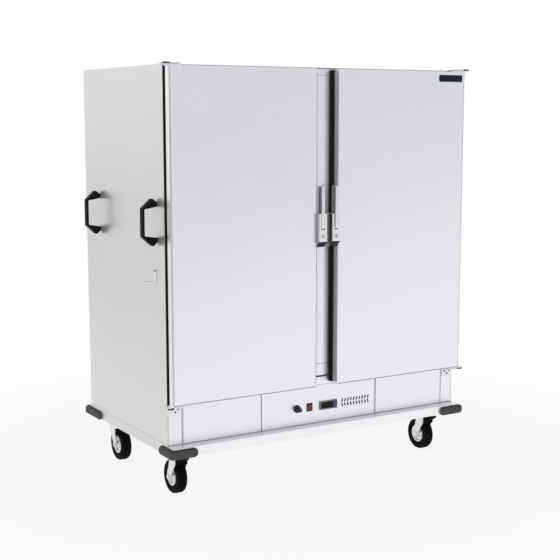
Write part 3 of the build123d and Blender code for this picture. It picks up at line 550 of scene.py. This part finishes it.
rim = {"spokes": 5, "around": 120, "rib": 0.0032, "ribAt": 0.0225, "ribWide": 0.0062, "ribSharp": 1.6,
       "radius": (0.00506, 0.00506, 0.0098, 0.0110, 0.0126, 0.0150, 0.0182, 0.0225, 0.0268, 0.0288, 0.0302,
                  0.0326),
       "half": (0.0, 0.022, 0.022, 0.0213, 0.0140, 0.0082, 0.0064, 0.0060, 0.0072, 0.0122, 0.0160, 0.0169)}


def buildRim(place):
    # A dished disc between hub and lip, its thickness swelling into ribs round the axle.
    node = place + "_rim"
    low, high = corners(node)
    radius = np.array(rim["radius"] + ((high[2] - low[2]) / 2,))
    half = np.array(rim["half"] + rim["half"][-1:])
    outline = np.concatenate([np.column_stack([radius, half]), np.column_stack([radius, -half])[::-1]])
    grid = turned(outline, (low + high) / 2, 0, rim["around"])
    ribs = np.clip(np.cos(rim["spokes"] * fullTurn(rim["around"])) * rim["ribSharp"], 0.0, 1.0)
    onWeb = bell(outline[:, 0], rim["ribAt"], rim["ribWide"]) * np.sign(outline[:, 1])
    grid[..., 0] += rim["rib"] * ribs[:, None] * onWeb
    newPiece(node + "_dish", [(grid, True, True)], bodyOf[node], "caster_rim", [node], sharp=50.0)


pedal = {"ribs": 3, "half": (0.0118, 0.0010), "round": 0.0009, "steps": 5, "first": 0.003, "pitch": 0.0036,
         "bendAt": 0.013, "bendDrop": 0.009, "slope": (0.0, -0.726, 0.688), "outward": (0.0, 0.688, 0.726),
         "layers": ((1.0, -0.0006), (1.0, 0.00048), (0.9, 0.0008), (0.0, 0.0009))}


def buildPedalRibs(place):
    # Low rounded bars across the bent-up tip of the pedal, spaced along its slope.
    node = place + "_brake_pedal"
    low, high = corners(node)
    bar = roundedPlate(pedal["half"], pedal)
    bend = np.array([(low[0] + high[0]) / 2, low[1] + pedal["bendAt"], high[2] - pedal["bendDrop"]])
    grids = []
    for rib in range(pedal["ribs"]):
        at = bend + np.array(pedal["slope"]) * (pedal["first"] + rib * pedal["pitch"])
        grids.append(slab(bar, pedal["layers"], at, (1, 0, 0), pedal["slope"], pedal["outward"]))
    newPiece(node + "_ribs", grids, bodyOf[node], "pedal_black")


for place in places:
    buildTyre(place)
    buildRim(place)
    softened(place + "_fork", width=0.0009, segments=2, angle=50.0)
for place in places[:2]:
    softened(place + "_brake_pedal", width=0.0012)
    buildPedalRibs(place)
print("wheels built")


# Seals and thin trim.

gasket = {"outer": ((0.0, 0.0), (0.0, 0.18), (0.16, 0.26), (0.16, 0.36), (0.05, 0.44), (0.05, 0.54),
                    (0.18, 0.62), (0.10, 0.70), (0.0, 0.80), (0.0, 0.95), (0.08, 1.0)),
          "width": 0.020, "round": 0.0005, "steps": 4}


def frameGrid(low, high, section):
    # Carries (inward, depth) pairs round an upright rectangle, mitred at the corners; depth runs along Y.
    inward, depth = section.T
    rings = []
    for sideX, sideZ in ((0, 0), (1, 0), (1, 1), (0, 1)):
        x = high[0] - inward if sideX else low[0] + inward
        z = high[2] - inward if sideZ else low[2] + inward
        rings.append(ringAt(x, low[1] + depth, z))
    return np.stack(rings)


def buildGasket(side):
    # A bellows section: the same folded wall on both edges, mirrored across the strip.
    node = side + "_door_gasket"
    low, high = corners(node)
    wall = np.array(gasket["outer"])
    section = np.concatenate([wall, (np.array([1.0, 0.0]) + wall * np.array([-1.0, 1.0]))[::-1]])
    section = section * np.array([gasket["width"], high[1] - low[1]])
    grid = frameGrid(low, high, roundCorners(section, gasket["round"], gasket["steps"]))
    newPiece(node + "_bellows", [(grid, True, True)], bodyOf[node], "gasket_black", [node], sharp=55.0)


bead = {"radius": 0.0032, "steps": 7, "sunk": 0.0004}


def buildBead(name, ways, finish):
    # A quarter-round bead between the deck and the cabinet walls, from corner to corner.
    back = corners("left_side_panel")[1][1]
    low, high = corners("front_frame")
    angle = quarterTurn(bead["steps"])
    out = np.concatenate([[-bead["sunk"]], bead["radius"] * np.cos(angle), [-bead["sunk"]]])
    up = np.concatenate([[0.0], bead["radius"] * np.sin(angle), [bead["radius"]]])
    rings = []
    for wayX, wayY in ways:
        y = back + out if wayY > 0 else low[1] - out
        rings.append(ringAt(wayX * (high[0] + out), y, low[2] + up))
    newPiece(name, [(np.stack(rings), False, True)], "cabinet", "gasket_black", finish=finish)


cover = {"footHigh": 0.0065, "headHigh": 0.0022, "lineHigh": 0.0013, "lineAt": 0.044, "roundX": 0.022,
         "roundY": 0.010, "proud": 0.0002, "gap": 0.0001, "steps": 14}


def buildCoverTrim():
    # Bands that follow the mullion cover's outline, a bar with elliptic front edges: foot, joint and head.
    low, high = corners("mullion_cover")
    reachX, reachY = cover["roundX"], cover["roundY"]
    turn = quarterTurn(cover["steps"])
    front = low[1] + reachY
    left = np.column_stack([low[0] + reachX - reachX * np.cos(turn), front - reachY * np.sin(turn)])
    right = np.column_stack([high[0] - reachX + reachX * np.sin(turn), front - reachY * np.cos(turn)])
    outline = np.concatenate([[[low[0], high[1]]], left, right, [[high[0], high[1]]]])
    middle = np.array([(low[0] + high[0]) / 2, high[1]])
    foot = (low[2] - cover["footHigh"], low[2] - cover["gap"])
    line = (low[2] + cover["lineAt"], low[2] + cover["lineAt"] + cover["lineHigh"])
    head = (high[2] + cover["gap"], high[2] + cover["headHigh"])
    grow = 1 + cover["proud"] / reachY
    for name, bands, finish in (("mullion_trim", (foot, line), None), ("mullion_head", (head,), edgeFinish)):
        grids = []
        for bottom, top in bands:
            rings = []
            for share, level in ((0.0, bottom), (grow, bottom), (grow, top), (0.0, top)):
                ring = middle + (outline - middle) * share
                rings.append(ringAt(ring[:, 0], ring[:, 1], level))
            grids.append((np.stack(rings), False, True))
        newPiece(name, grids, "cabinet", "gasket_black", finish=finish)


sweep = {"cover": 0.0015, "clear": 0.0012, "round": 0.003, "steps": 6,
         "layers": ((1.0, -0.0005), (1.0, 0.00084), (0.998, 0.0012), (0.0, 0.0012))}


def buildSweep(side):
    # A flat lip let into the lower edge of a door, rounded at its ends.
    low, high = corners(side + "_door_inner_skin")
    front = corners(side + "_door_skin")[0][1]
    half = ((high[0] - low[0]) / 2, (high[1] - front) / 2 - sweep["clear"])
    place = ((low[0] + high[0]) / 2, (high[1] + front) / 2, low[2] - sweep["cover"])
    grid = slab(roundedPlate(half, sweep), sweep["layers"], place, (1, 0, 0), (0, 1, 0), (0, 0, -1))
    newPiece(side + "_door_sweep", [grid], side + "_door", "gasket_black", finish=sweepFinish)


edgeStrip = {"front": 0.0035, "back": 0.0025, "ends": 0.006, "round": 0.004, "steps": 6,
             "layers": ((1.0, -0.0003), (1.0, 0.00048), (0.98, 0.0008), (0.0, 0.0008))}


def buildEdgeStrip(side):
    # A grey strip let into the latch edge of a door, rounded at its corners.
    low, high = corners(side + "_door_inner_skin")
    skinLow, skinHigh = corners(side + "_door_skin")
    toMiddle, face = (1, skinHigh[0]) if side == "left" else (-1, skinLow[0])
    halfDeep = (high[1] - skinLow[1] - edgeStrip["front"] - edgeStrip["back"]) / 2
    halfHigh = (high[2] - low[2]) / 2 - edgeStrip["ends"]
    place = (face, skinLow[1] + edgeStrip["front"] + halfDeep, (low[2] + high[2]) / 2)
    outline = roundedPlate((halfDeep, halfHigh), edgeStrip)
    grid = slab(outline, edgeStrip["layers"], place, (0, 1, 0), (0, 0, 1), (toMiddle, 0, 0))
    newPiece(side + "_door_edge", [grid], side + "_door", "controller_grey", finish=edgeFinish)


headStrip = {"steps": 9, "clear": 0.0012, "ends": 0.002, "sunk": 0.0003, "proud": 0.0025}


def buildHeadStrip():
    # A half-round strip along the top of the front, above the doors.
    low, high = corners("front_frame")
    doorTop = corners("left_door_inner_skin")[1][2]
    angle = np.linspace(-math.pi / 2, math.pi / 2, headStrip["steps"])
    rise = (high[2] - doorTop) / 2 - headStrip["clear"]
    y = low[1] + headStrip["sunk"] - headStrip["proud"] * np.cos(angle)
    z = (high[2] + doorTop) / 2 + rise * np.sin(angle)
    rings = [ringAt(x, y, z) for x in (low[0] + headStrip["ends"], high[0] - headStrip["ends"])]
    newPiece("head_strip", [capped(rings)], "cabinet", "gasket_black", finish=beadFinish)


hem = {"reach": 0.0045, "round": 0.0025, "proud": 0.0003, "steps": 7, "ends": 0.003, "skin": 0.0015}
seal = {"reach": 0.0050, "round": 0.0010, "proud": 0.0004, "steps": 7, "drop": 0.001, "topGap": 0.0005}
seam = {**seal, "reach": 0.0028, "gap": 0.0385}


def cornerStrip(corner, wayX, look, bottom, top):
    # A thin angle round an upright corner: two short flats joined by an arc, carried straight up.
    reach, bend, proud = look["reach"], look["round"], look["proud"]
    angle = quarterTurn(look["steps"])
    arc = bend - (bend + proud) * np.column_stack([np.sin(angle), np.cos(angle)])
    inner = [[-proud, reach], [proud, reach], [bend, bend], [reach, proud]]
    section = np.concatenate([[[reach, -proud]], arc, inner])
    x = corner[0] + wayX * section[:, 0]
    y = corner[1] + section[:, 1]
    return capped([ringAt(x, y, level) for level in (bottom, top)])


def buildCornerStrips(side):
    # The folded hem on a door's outer edge and the seam below, in darker steel as painted shade, and a dark
    # strip on the cabinet's corner behind the hem.
    out = -1.0 if side == "left" else 1.0
    low, high = corners(side + "_door_inner_skin")
    frameLow, frameHigh = corners("front_frame")
    doorOut = out * (max(abs(low[0]), abs(high[0])) + hem["skin"])
    doorFront = corners(side + "_door_core")[0][1] - hem["skin"]
    strip = cornerStrip((doorOut, doorFront), -out, hem, low[2] + hem["ends"], high[2] - hem["ends"])
    newPiece(side + "_door_hem", [strip], side + "_door", "stainless", finish=shadedHemFinish)
    corner = (out * frameHigh[0], frameLow[1])
    split = corners(side + "_door_skin")[0][2] - seal["drop"]
    strip = cornerStrip(corner, -out, seal, split, frameHigh[2] - seal["topGap"])
    newPiece(side + "_corner_dark_strip", [strip], "cabinet", "gasket_black")
    strip = cornerStrip(corner, -out, seam, frameLow[2], split - seam["gap"])
    newPiece(side + "_corner_seam", [strip], "cabinet", "stainless", finish=shadedHemFinish)


lip = {"left": 0.0065, "right": 0.0038, "control": 0.0045, "ends": 0.004,
       "layers": ((1.0, -0.0002), (1.0, 0.0003), (0.0, 0.0003))}


def buildPanelLip(panel):
    # The folded edge of a front panel: a thin upright bar beside the joint, on the panel's own side, in
    # darker steel as painted shade.
    low, high = corners("service_panels")
    face = {"left": low[0], "right": high[0], "control": corners("control_panel")[1][0]}[panel]
    inward = 1.0 if panel == "left" else -1.0
    half = np.array([lip[panel] / 2, (high[2] - low[2]) / 2 - lip["ends"]])
    place = (face + inward * half[0], low[1], (low[2] + high[2]) / 2)
    grid = slab(square * half, lip["layers"], place, *frontward)
    newPiece(panel + "_panel_lip", [grid], "cabinet", "stainless", finish=shadedHemFinish)


# Painted shade: a darker copy of the stainless for the door hems, the corner seams and the panel lips.
shadedHemFinish = satinSteel("shadedHemSteel", tint=(0.60, 0.605, 0.615), rough=0.36)
edgeFinish = mouldedPlastic("edgePlastic", tint=(0.5, 0.5, 0.505), worn=even(0.56))
sweepFinish = mouldedPlastic("sweepPlastic", tint=(0.85, 0.85, 0.855), worn=even(0.9))
# Dark grey: painted shade on the front run of the foot bead; the head strip uses it too.
beadFinish = dustyRubber("darkGreyBead", tint=(0.36, 0.36, 0.365), worn=even(0.44), dustScale=30.0)
for side in ("left", "right"):
    buildGasket(side)
    buildEdgeStrip(side)
    buildSweep(side)
    buildCornerStrips(side)
for panel in ("left", "right", "control"):
    buildPanelLip(panel)
buildCoverTrim()
# Painted shade: the front run of the foot bead is dark grey, the rest pale.
buildBead("foot_bead_front_shade", ((-1, -1), (1, -1)), beadFinish)
buildBead("foot_bead_rest", ((1, -1), (1, 1), (-1, 1), (-1, -1)), sweepFinish)
buildHeadStrip()
print("seals built")


# Latches, hinges, handles and screws.

cap = {"half": (0.01725, 0.01425), "chamfer": 0.021, "round": 0.002, "steps": 6,
       "layers": ((1.0, -0.0005), (1.0, 0.00054), (0.97, 0.0009), (0.0, 0.0009))}


def buildLatchCap(side):
    # A dark end cap on the slanted lower end of the latch housing.
    node = side + "_latch_housing"
    low, high = corners(node)
    place = ((low[0] + high[0]) / 2, low[1] + cap["chamfer"] / 2, low[2] + cap["chamfer"] / 2)
    slant = math.sqrt(0.5)
    outline = roundedPlate(cap["half"], cap)
    grid = slab(outline, cap["layers"], place, (1, 0, 0), (0, slant, -slant), (0, -slant, -slant))
    newPiece(side + "_latch_cap", [grid], bodyOf[node], "control_black")


def islands(node):
    # The box of each loose solid in a node, as pairs of low and high corners.
    work = bmesh.new()
    work.from_mesh(nodes[node].data)
    bmesh.ops.remove_doubles(work, verts=work.verts, dist=weld["node"])
    seen = set()
    found = []
    for start in work.verts:
        group = []
        queue = [start]
        while queue:
            point = queue.pop()
            if point not in seen:
                seen.add(point)
                group.append(tuple(point.co))
                queue += [edge.other_vert(point) for edge in point.link_edges]
        if group:
            found.append((np.min(group, 0), np.max(group, 0)))
    work.free()
    return found


screw = {"around": 48, "socket": ((0.4032, 1.0), (0.36, 0.95), (0.36, 0.55), (0.0, 0.49)),
         "dome": ((1.0, 0.0), (1.0, 0.35), (0.95, 0.62), (0.82, 0.86), (0.66, 0.97), (0.52, 1.0))}


def screwGrid(low, high):
    # A domed head with a six-sided socket: rings from the rim up over the dome and down into the socket.
    size = high - low
    axis = int(np.argmin(size))
    sideAxis, upAxis = (axis + 1) % 3, (axis + 2) % 3
    middle = (low + high) / 2
    outward = 1.0 if middle[axis] > 0 else -1.0
    base = low[axis] if outward > 0 else high[axis]
    angle = fullTurn(screw["around"])
    hexagon = math.cos(math.pi / 6) / np.cos((angle % (math.pi / 3)) - math.pi / 6)
    rings = [(share, lift, 1.0) for share, lift in screw["dome"]]
    rings += [(share, lift, hexagon) for share, lift in screw["socket"]]
    points = np.zeros((len(rings), len(angle), 3))
    for row, (share, lift, shape) in zip(points, rings):
        reach = size.max() / 2 * share * shape
        row[:, axis] = base + outward * size[axis] * lift
        row[:, sideAxis] = middle[sideAxis] + reach * np.cos(angle)
        row[:, upAxis] = middle[upAxis] + reach * np.sin(angle)
    return points, False, True


nose = {"radius": 0.018, "plate": 0.004, "gap": 0.001, "proud": 0.0007, "inside": 0.0006, "over": 0.0003,
        "start": -46.0, "end": 42.0, "steps": 32}


def buildNoseShadeRims():
    # Painted shade: dark bands, a small closed section carried round the front of each hinge bracket's nose.
    low, high = corners("hinge_brackets")
    top = corners("front_frame")[1][2]
    foot = corners("right_door_skin")[0][2] - nose["gap"] - nose["plate"]
    angle = np.radians(np.linspace(nose["start"], nose["end"], nose["steps"]))
    inner, outer = nose["radius"] - nose["inside"], nose["radius"] + nose["proud"]
    under, over = -nose["over"], nose["plate"] + nose["over"]
    grids = []
    for out in (-1.0, 1.0):
        for bottom in (foot, top):
            rings = []
            for reach, lift in ((inner, under), (outer, under), (outer, over), (inner, over)):
                x = out * (high[0] - nose["radius"] + reach * np.sin(angle))
                y = low[1] + nose["radius"] - reach * np.cos(angle)
                rings.append(ringAt(x, y, bottom + lift))
            grids.append(capped(np.stack(rings, 1)))
    newPiece("hinge_shade_rims", grids, "cabinet", "control_black", finish=shadeRimFinish)


# Painted shade: a near-black finish for the bands on the hinge noses.
shadeRimFinish = mouldedPlastic("paintedShadeRim", tint=(0.04, 0.04, 0.042), worn=(0.07, 0.07, 0.072), bump=0.06,
                           shine=0.2)
screwFinish = satinSteel("screwSteel", tint=(0.27, 0.27, 0.275), rough=0.4, vary=0.1, cloudScale=60.0,
                         grain=even(300.0))
buildNoseShadeRims()
for side in ("left", "right"):
    softened(side + "_latch_housing", width=0.0032, segments=5, shortest=0.004)
    softened(side + "_latch_lever", width=0.0016, segments=4, shortest=0.003)
    softened(side + "_lock_cylinder", width=0.0005, segments=2)
    buildLatchCap(side)
softened("hinge_brackets", width=0.0009, segments=2)
softened("push_handles", width=0.0026, segments=4, angle=30.0)
softened("cord_hook", width=0.0007, segments=2, angle=50.0)
heads = [screwGrid(*pair) for pair in islands("cabinet_screws")]
newPiece("screw_heads", heads, "cabinet", "hinge_steel", ["cabinet_screws"], sharp=35.0, finish=screwFinish)
print("hardware built")


# Controls and badge.

knob = {"flutes": 18, "cut": 0.0007, "grip": 0.0105, "around": 144, "length": 0.024, "shaft": 0.003,
        "fadeFrom": 0.007, "fadeTo": 0.0228, "fade": 0.003,
        "profile": ((0.01421, 0.0), (0.0145, 0.0008), (0.0145, 0.00315), (0.013485, 0.00434),
                    (0.01155, 0.00602), (0.0105, 0.00756), (0.010185, 0.011), (0.00966, 0.015),
                    (0.009135, 0.019), (0.0085, 0.022), (0.00799, 0.0234), (0.00697, 0.024),
                    (0.00425, 0.0237), (0.0, 0.0236))}
pointer = {"half": (0.0007, 0.00305), "rise": 0.00455, "round": 0.0004, "steps": 4, "sunk": 0.0001,
           "layers": ((1.0, 0.0), (1.0, 0.0004), (0.0, 0.0004))}


def buildKnob():
    # A skirted knob turned about its shaft, its grip cut by round flutes that fade at both ends; a flat
    # pointer lies on its tip.
    node = "regulator_knob"
    low, high = corners(node)
    face = low[1] + knob["length"]
    shaft = [(0.0, high[1]), (knob["shaft"], high[1]), (knob["shaft"], face)]
    outline = np.array(shaft + [(radius, face - along) for radius, along in knob["profile"]])
    centre = ((low[0] + high[0]) / 2, 0.0, (low[2] + high[2]) / 2)
    grid = turned(outline, centre, 1, knob["around"])
    along = face - outline[:, 1]
    held = np.clip((along - knob["fadeFrom"]) / knob["fade"], 0.0, 1.0)
    held = held * np.clip((knob["fadeTo"] - along) / knob["fade"], 0.0, 1.0)
    flute = 0.5 + 0.5 * np.cos(knob["flutes"] * fullTurn(knob["around"]))
    shrink = 1 - knob["cut"] / knob["grip"] * held * flute[:, None]
    for axis in (0, 2):
        grid[..., axis] = centre[axis] + (grid[..., axis] - centre[axis]) * shrink
    newPiece("regulator_grip", [(grid, True, False)], bodyOf[node], "control_black", [node], sharp=45.0)
    place = (centre[0], low[1] + pointer["sunk"], centre[2] + pointer["rise"])
    mark = slab(roundedPlate(pointer["half"], pointer), pointer["layers"], place, *frontward)
    newPiece("regulator_pointer", [mark], bodyOf[node], "controller_grey", finish=markFinish)


rocker = {"tilt": 9.0, "endRise": 0.0065, "midRise": 0.0035, "half": 0.012, "axisDeep": 0.003,
          "bar": (0.0007, 0.0028), "round": 0.0004, "steps": 4, "around": 40,
          "barLayers": ((1.0, -0.0001), (1.0, 0.0002), (0.0, 0.0002)),
          "ringLayers": ((0.0028, -0.0001), (0.0028, 0.0002), (0.0017, 0.0002), (0.0017, -0.0001))}


def buildRockerMarks():
    # A bar on the raised half and a ring on the pressed half, lying on the tilted faces.
    low, high = corners("switch_rocker")
    frameLow, frameHigh = corners("switch_frame")
    front = corners("front_frame")[0][1]
    axis = np.array([(low[0] + high[0]) / 2, front + rocker["axisDeep"], (frameLow[2] + frameHigh[2]) / 2])
    tilt = math.radians(rocker["tilt"])
    spin = np.array([[1, 0, 0], [0, math.cos(tilt), -math.sin(tilt)], [0, math.sin(tilt), math.cos(tilt)]])
    fall = rocker["midRise"] - rocker["endRise"]
    length = math.hypot(fall, rocker["half"])
    turn = fullTurn(rocker["around"])
    bar = roundedPlate(rocker["bar"], rocker)
    circle = np.column_stack([np.cos(turn), np.sin(turn)])
    grids = []
    for way, outline, layers in ((1, bar, rocker["barLayers"]), (-1, circle, rocker["ringLayers"])):
        along = np.array([0.0, fall, way * rocker["half"]]) / length
        outward = np.array([0.0, -rocker["half"], way * fall]) / length
        seat = np.array([0.0, -(rocker["midRise"] + rocker["endRise"]) / 2, way * rocker["half"] / 2])
        axes = [spin @ toward for toward in (np.array([1.0, 0.0, 0.0]), along, outward)]
        grids.append(slab(outline, layers, axis + spin @ seat, *axes))
    newPiece("rocker_marks", grids, bodyOf["switch_rocker"], "control_black")


display = {"digits": 3, "half": (0.00425, 0.00725), "stroke": 0.0013, "gap": 0.65, "pitch": 0.0135,
           "shift": -0.0015, "sunk": 0.0001, "layers": ((1.0, 0.0), (1.0, 0.0002), (0.0, 0.0002))}


def buildDisplay():
    # Three dim digits, each of seven flat bars with pointed ends, just proud of the window.
    low, high = corners("controller_window")
    middle = (low + high) / 2
    wide, tall = display["half"]
    bars = [((0.0, level), True, wide) for level in (-tall, 0.0, tall)]
    bars += [((x, level), False, tall / 2) for x in (-wide, wide) for level in (-tall / 2, tall / 2)]
    slope = display["stroke"] / 2
    grids = []
    for digit in range(display["digits"]):
        shift = display["shift"] + (digit - (display["digits"] - 1) / 2) * display["pitch"]
        for (x, z), flat, reach in bars:
            tip = reach - display["stroke"] * display["gap"]
            side = tip - slope
            shape = np.array([[-tip, 0.0], [-side, -slope], [side, -slope],
                              [tip, 0.0], [side, slope], [-side, slope]])
            place = (middle[0] + shift + x, low[1] + display["sunk"], middle[2] + z)
            grids.append(slab(shape if flat else shape[:, ::-1], display["layers"], place, *frontward))
    newPiece("display_digits", grids, bodyOf["controller_window"], "window_black", finish=digitFinish)


keypad = {"inner": 0.0185, "outer": 0.0372, "halfHigh": 0.0125, "round": 0.002, "steps": 6,
          "layers": ((1.0, -0.0002), (1.0, 0.00021), (0.985, 0.0003), (0.0, 0.0003))}


def buildKeypad():
    # A tinted overlay round the keys, a little proud of the bezel.
    low, high = corners("controller_case")
    bezel = corners("controller_window")[0][1]
    outline = roundedPlate(((keypad["outer"] - keypad["inner"]) / 2, keypad["halfHigh"]), keypad)
    middle = (low + high) / 2
    place = (middle[0] + (keypad["inner"] + keypad["outer"]) / 2, bezel, middle[2])
    grid = slab(outline, keypad["layers"], place, *frontward)
    newPiece("controller_overlay", [grid], bodyOf["controller_case"], "badge_navy", finish=overlayFinish)


border = {"inset": 0.0022, "wide": 0.0009, "rise": 0.0004, "sunk": 0.0003, "round": 0.003, "steps": 6}


def buildBadgeBorder():
    # A thin raised line that follows the badge's outline.
    low, high = corners("badge_plate")
    middle = (low + high) / 2
    half = (high - low)[[0, 2]] / 2 - border["inset"]
    rise, sunk, wide = border["rise"], -border["sunk"], border["wide"]
    rings = []
    for inset, lift in ((0.0, sunk), (0.0, rise), (wide, rise), (wide, sunk)):
        ring = roundCorners(square * (half - inset), border["round"] - inset, border["steps"])
        rings.append(ringAt(middle[0] + ring[:, 0], low[1] - lift, middle[2] + ring[:, 1]))
    grid = (np.stack(rings), False, True)
    newPiece("badge_border", [grid], bodyOf["badge_plate"], "badge_navy", finish=borderFinish)


markFinish = mouldedPlastic("pointerPaint", tint=even(0.55), worn=even(0.45), pebbleScale=1500.0)
digitFinish = glossPanel("dimSegments", tint=(0.02, 0.012, 0.012), rough=0.25)
overlayFinish = glossPanel("keypadOverlay", tint=(0.04, 0.035, 0.15))
borderFinish = glossPanel("badgeBorder", tint=(0.02, 0.026, 0.06))
buildKnob()
buildRockerMarks()
buildDisplay()
buildKeypad()
buildBadgeBorder()
softened("switch_frame", width=0.0008)
softened("controller_case", width=0.0006, segments=2)
softened("badge_plate", width=0.0004, segments=2)
print("controls built")


# Stage: floor, light and camera.

white = (1.0, 1.0, 1.0)
ground = {"half": 30.0, "points": 9, "tint": (0.86, 0.86, 0.87), "nearWhite": 0.86, "nearFade": (0.8, 2.2),
          "leftWhite": 0.64, "leftFade": (-2.2, -0.8), "frontWhite": 0.48, "frontFade": (-6.5, -1.5),
          "frontSlant": 0.8}


def buildFloor():
    # One flat grid on the ground, near white for the camera; mirrors see it dimmer on the left and far ahead.
    side = np.linspace(-ground["half"], ground["half"], ground["points"])
    gridX, gridY = np.meshgrid(side, side, indexing="ij")
    points = np.stack([gridX, gridY, np.zeros_like(gridX)], -1)
    mesh = bpy.data.meshes.new("floor")
    mesh.from_pydata(points.reshape(-1, 3).tolist(), [], gridFaces(points, False, False).tolist())
    floor = bpy.data.objects.new("floor", mesh)
    bpy.context.scene.collection.objects.link(floor)
    finish = Finish(bpy.data.materials.new("paleFloor"))
    left = finish.span(finish.along("X"), *ground["leftFade"], ground["leftWhite"])
    ahead = finish.along("Y") + finish.along("X") * ground["frontSlant"]
    front = finish.span(ahead, *ground["frontFade"], ground["frontWhite"])
    seen = finish.ray("Camera") + (finish.ray("Glossy") + finish.ray("Transmission")) * left * front
    reach = finish.node("ShaderNodeVectorMath", {0: finish.place()}, "Value", operation="LENGTH")
    far = finish.span(reach, *ground["nearFade"], ground["nearWhite"])
    matt = finish.node("ShaderNodeBsdfDiffuse", {"Color": rgba(ground["tint"])})
    pale = finish.glow("ShaderNodeEmission", white, 1.0)
    finish.node("ShaderNodeOutputMaterial", {"Surface": finish.mix(seen * far, matt, pale)})
    mesh.materials.append(finish.owner)


sky = {"ambient": 0.55, "ambientTint": (0.97, 0.98, 1.0), "wall": (0.76, 0.80),
       "wallTint": (0.98, 0.985, 1.0), "rightFade": (0.42, 0.62), "backFade": (0.1, 0.5)}


def buildWorld():
    # White for the camera, soft light on matt surfaces; mirrors see a dimmer wall in front and white behind.
    finish = Finish(bpy.data.worlds.new("studio"))
    bpy.context.scene.world = finish.owner
    kind = "ShaderNodeBackground"
    pale = finish.glow(kind, white, 1.0)
    soft = finish.glow(kind, sky["ambientTint"], sky["ambient"])
    near, rest = (finish.glow(kind, sky["wallTint"], strength) for strength in sky["wall"])
    right = finish.span(finish.along("X", "Generated"), *sky["rightFade"])
    behind = finish.span(finish.along("Y", "Generated"), *sky["backFade"])
    wall = finish.mix(behind, finish.mix(right, near, rest), pale)
    lit = finish.mix(finish.ray("Glossy") + finish.ray("Transmission"), soft, wall)
    finish.node("ShaderNodeOutputWorld", {"Surface": finish.mix(finish.ray("Camera"), lit, pale)})


lamps = {
    "keyLamp": {"place": (-1.6, -3.6, 4.2), "aim": (0.0, 0.0, 0.8), "size": 3.0, "power": 45.0},
    "rimLamp": {"place": (-3.2, 3.6, 3.6), "aim": (0.0, 0.2, 0.9), "size": 2.6, "power": 12.0},
}


def aimed(place, aim):
    # Looks from place to aim with Z up.
    away = np.array(place, float) - np.array(aim, float)
    away /= np.linalg.norm(away)
    right = np.cross((0.0, 0.0, 1.0), away)
    right /= np.linalg.norm(right)
    return np.column_stack([right, np.cross(away, right), away])


def buildLamps():
    for name, lamp in lamps.items():
        light = bpy.data.lights.new(name, "AREA")
        light.shape = "DISK"
        light.size = lamp["size"]
        light.energy = lamp["power"]
        shown = bpy.data.objects.new(name, light)
        matrix = np.eye(4)
        matrix[:3, :3] = aimed(lamp["place"], lamp["aim"])
        matrix[:3, 3] = lamp["place"]
        shown.matrix_world = Matrix(matrix.tolist())
        bpy.context.scene.collection.objects.link(shown)


view = {"place": (-2.344, -3.904, 1.3445), "turn": 31.28, "drop": 8.43, "focalPixels": 1167.57,
        "framePixels": 560.0, "centreDrop": 8.8, "sensor": 36.0, "clipEnd": 200.0}


def buildCamera():
    data = bpy.data.cameras.new("photoCamera")
    data.sensor_fit = "HORIZONTAL"
    data.sensor_width = view["sensor"]
    data.lens = view["sensor"] * view["focalPixels"] / view["framePixels"]
    data.shift_y = view["centreDrop"] / view["framePixels"]
    data.clip_end = view["clipEnd"]
    shown = bpy.data.objects.new("photoCamera", data)
    shown.location = view["place"]
    shown.rotation_euler = (math.radians(90 - view["drop"]), 0.0, math.radians(-view["turn"]))
    bpy.context.scene.collection.objects.link(shown)
    bpy.context.scene.camera = shown


buildFloor()
buildWorld()
buildLamps()
buildCamera()
bpy.context.scene.view_settings.view_transform = "Standard"
print("stage ready")
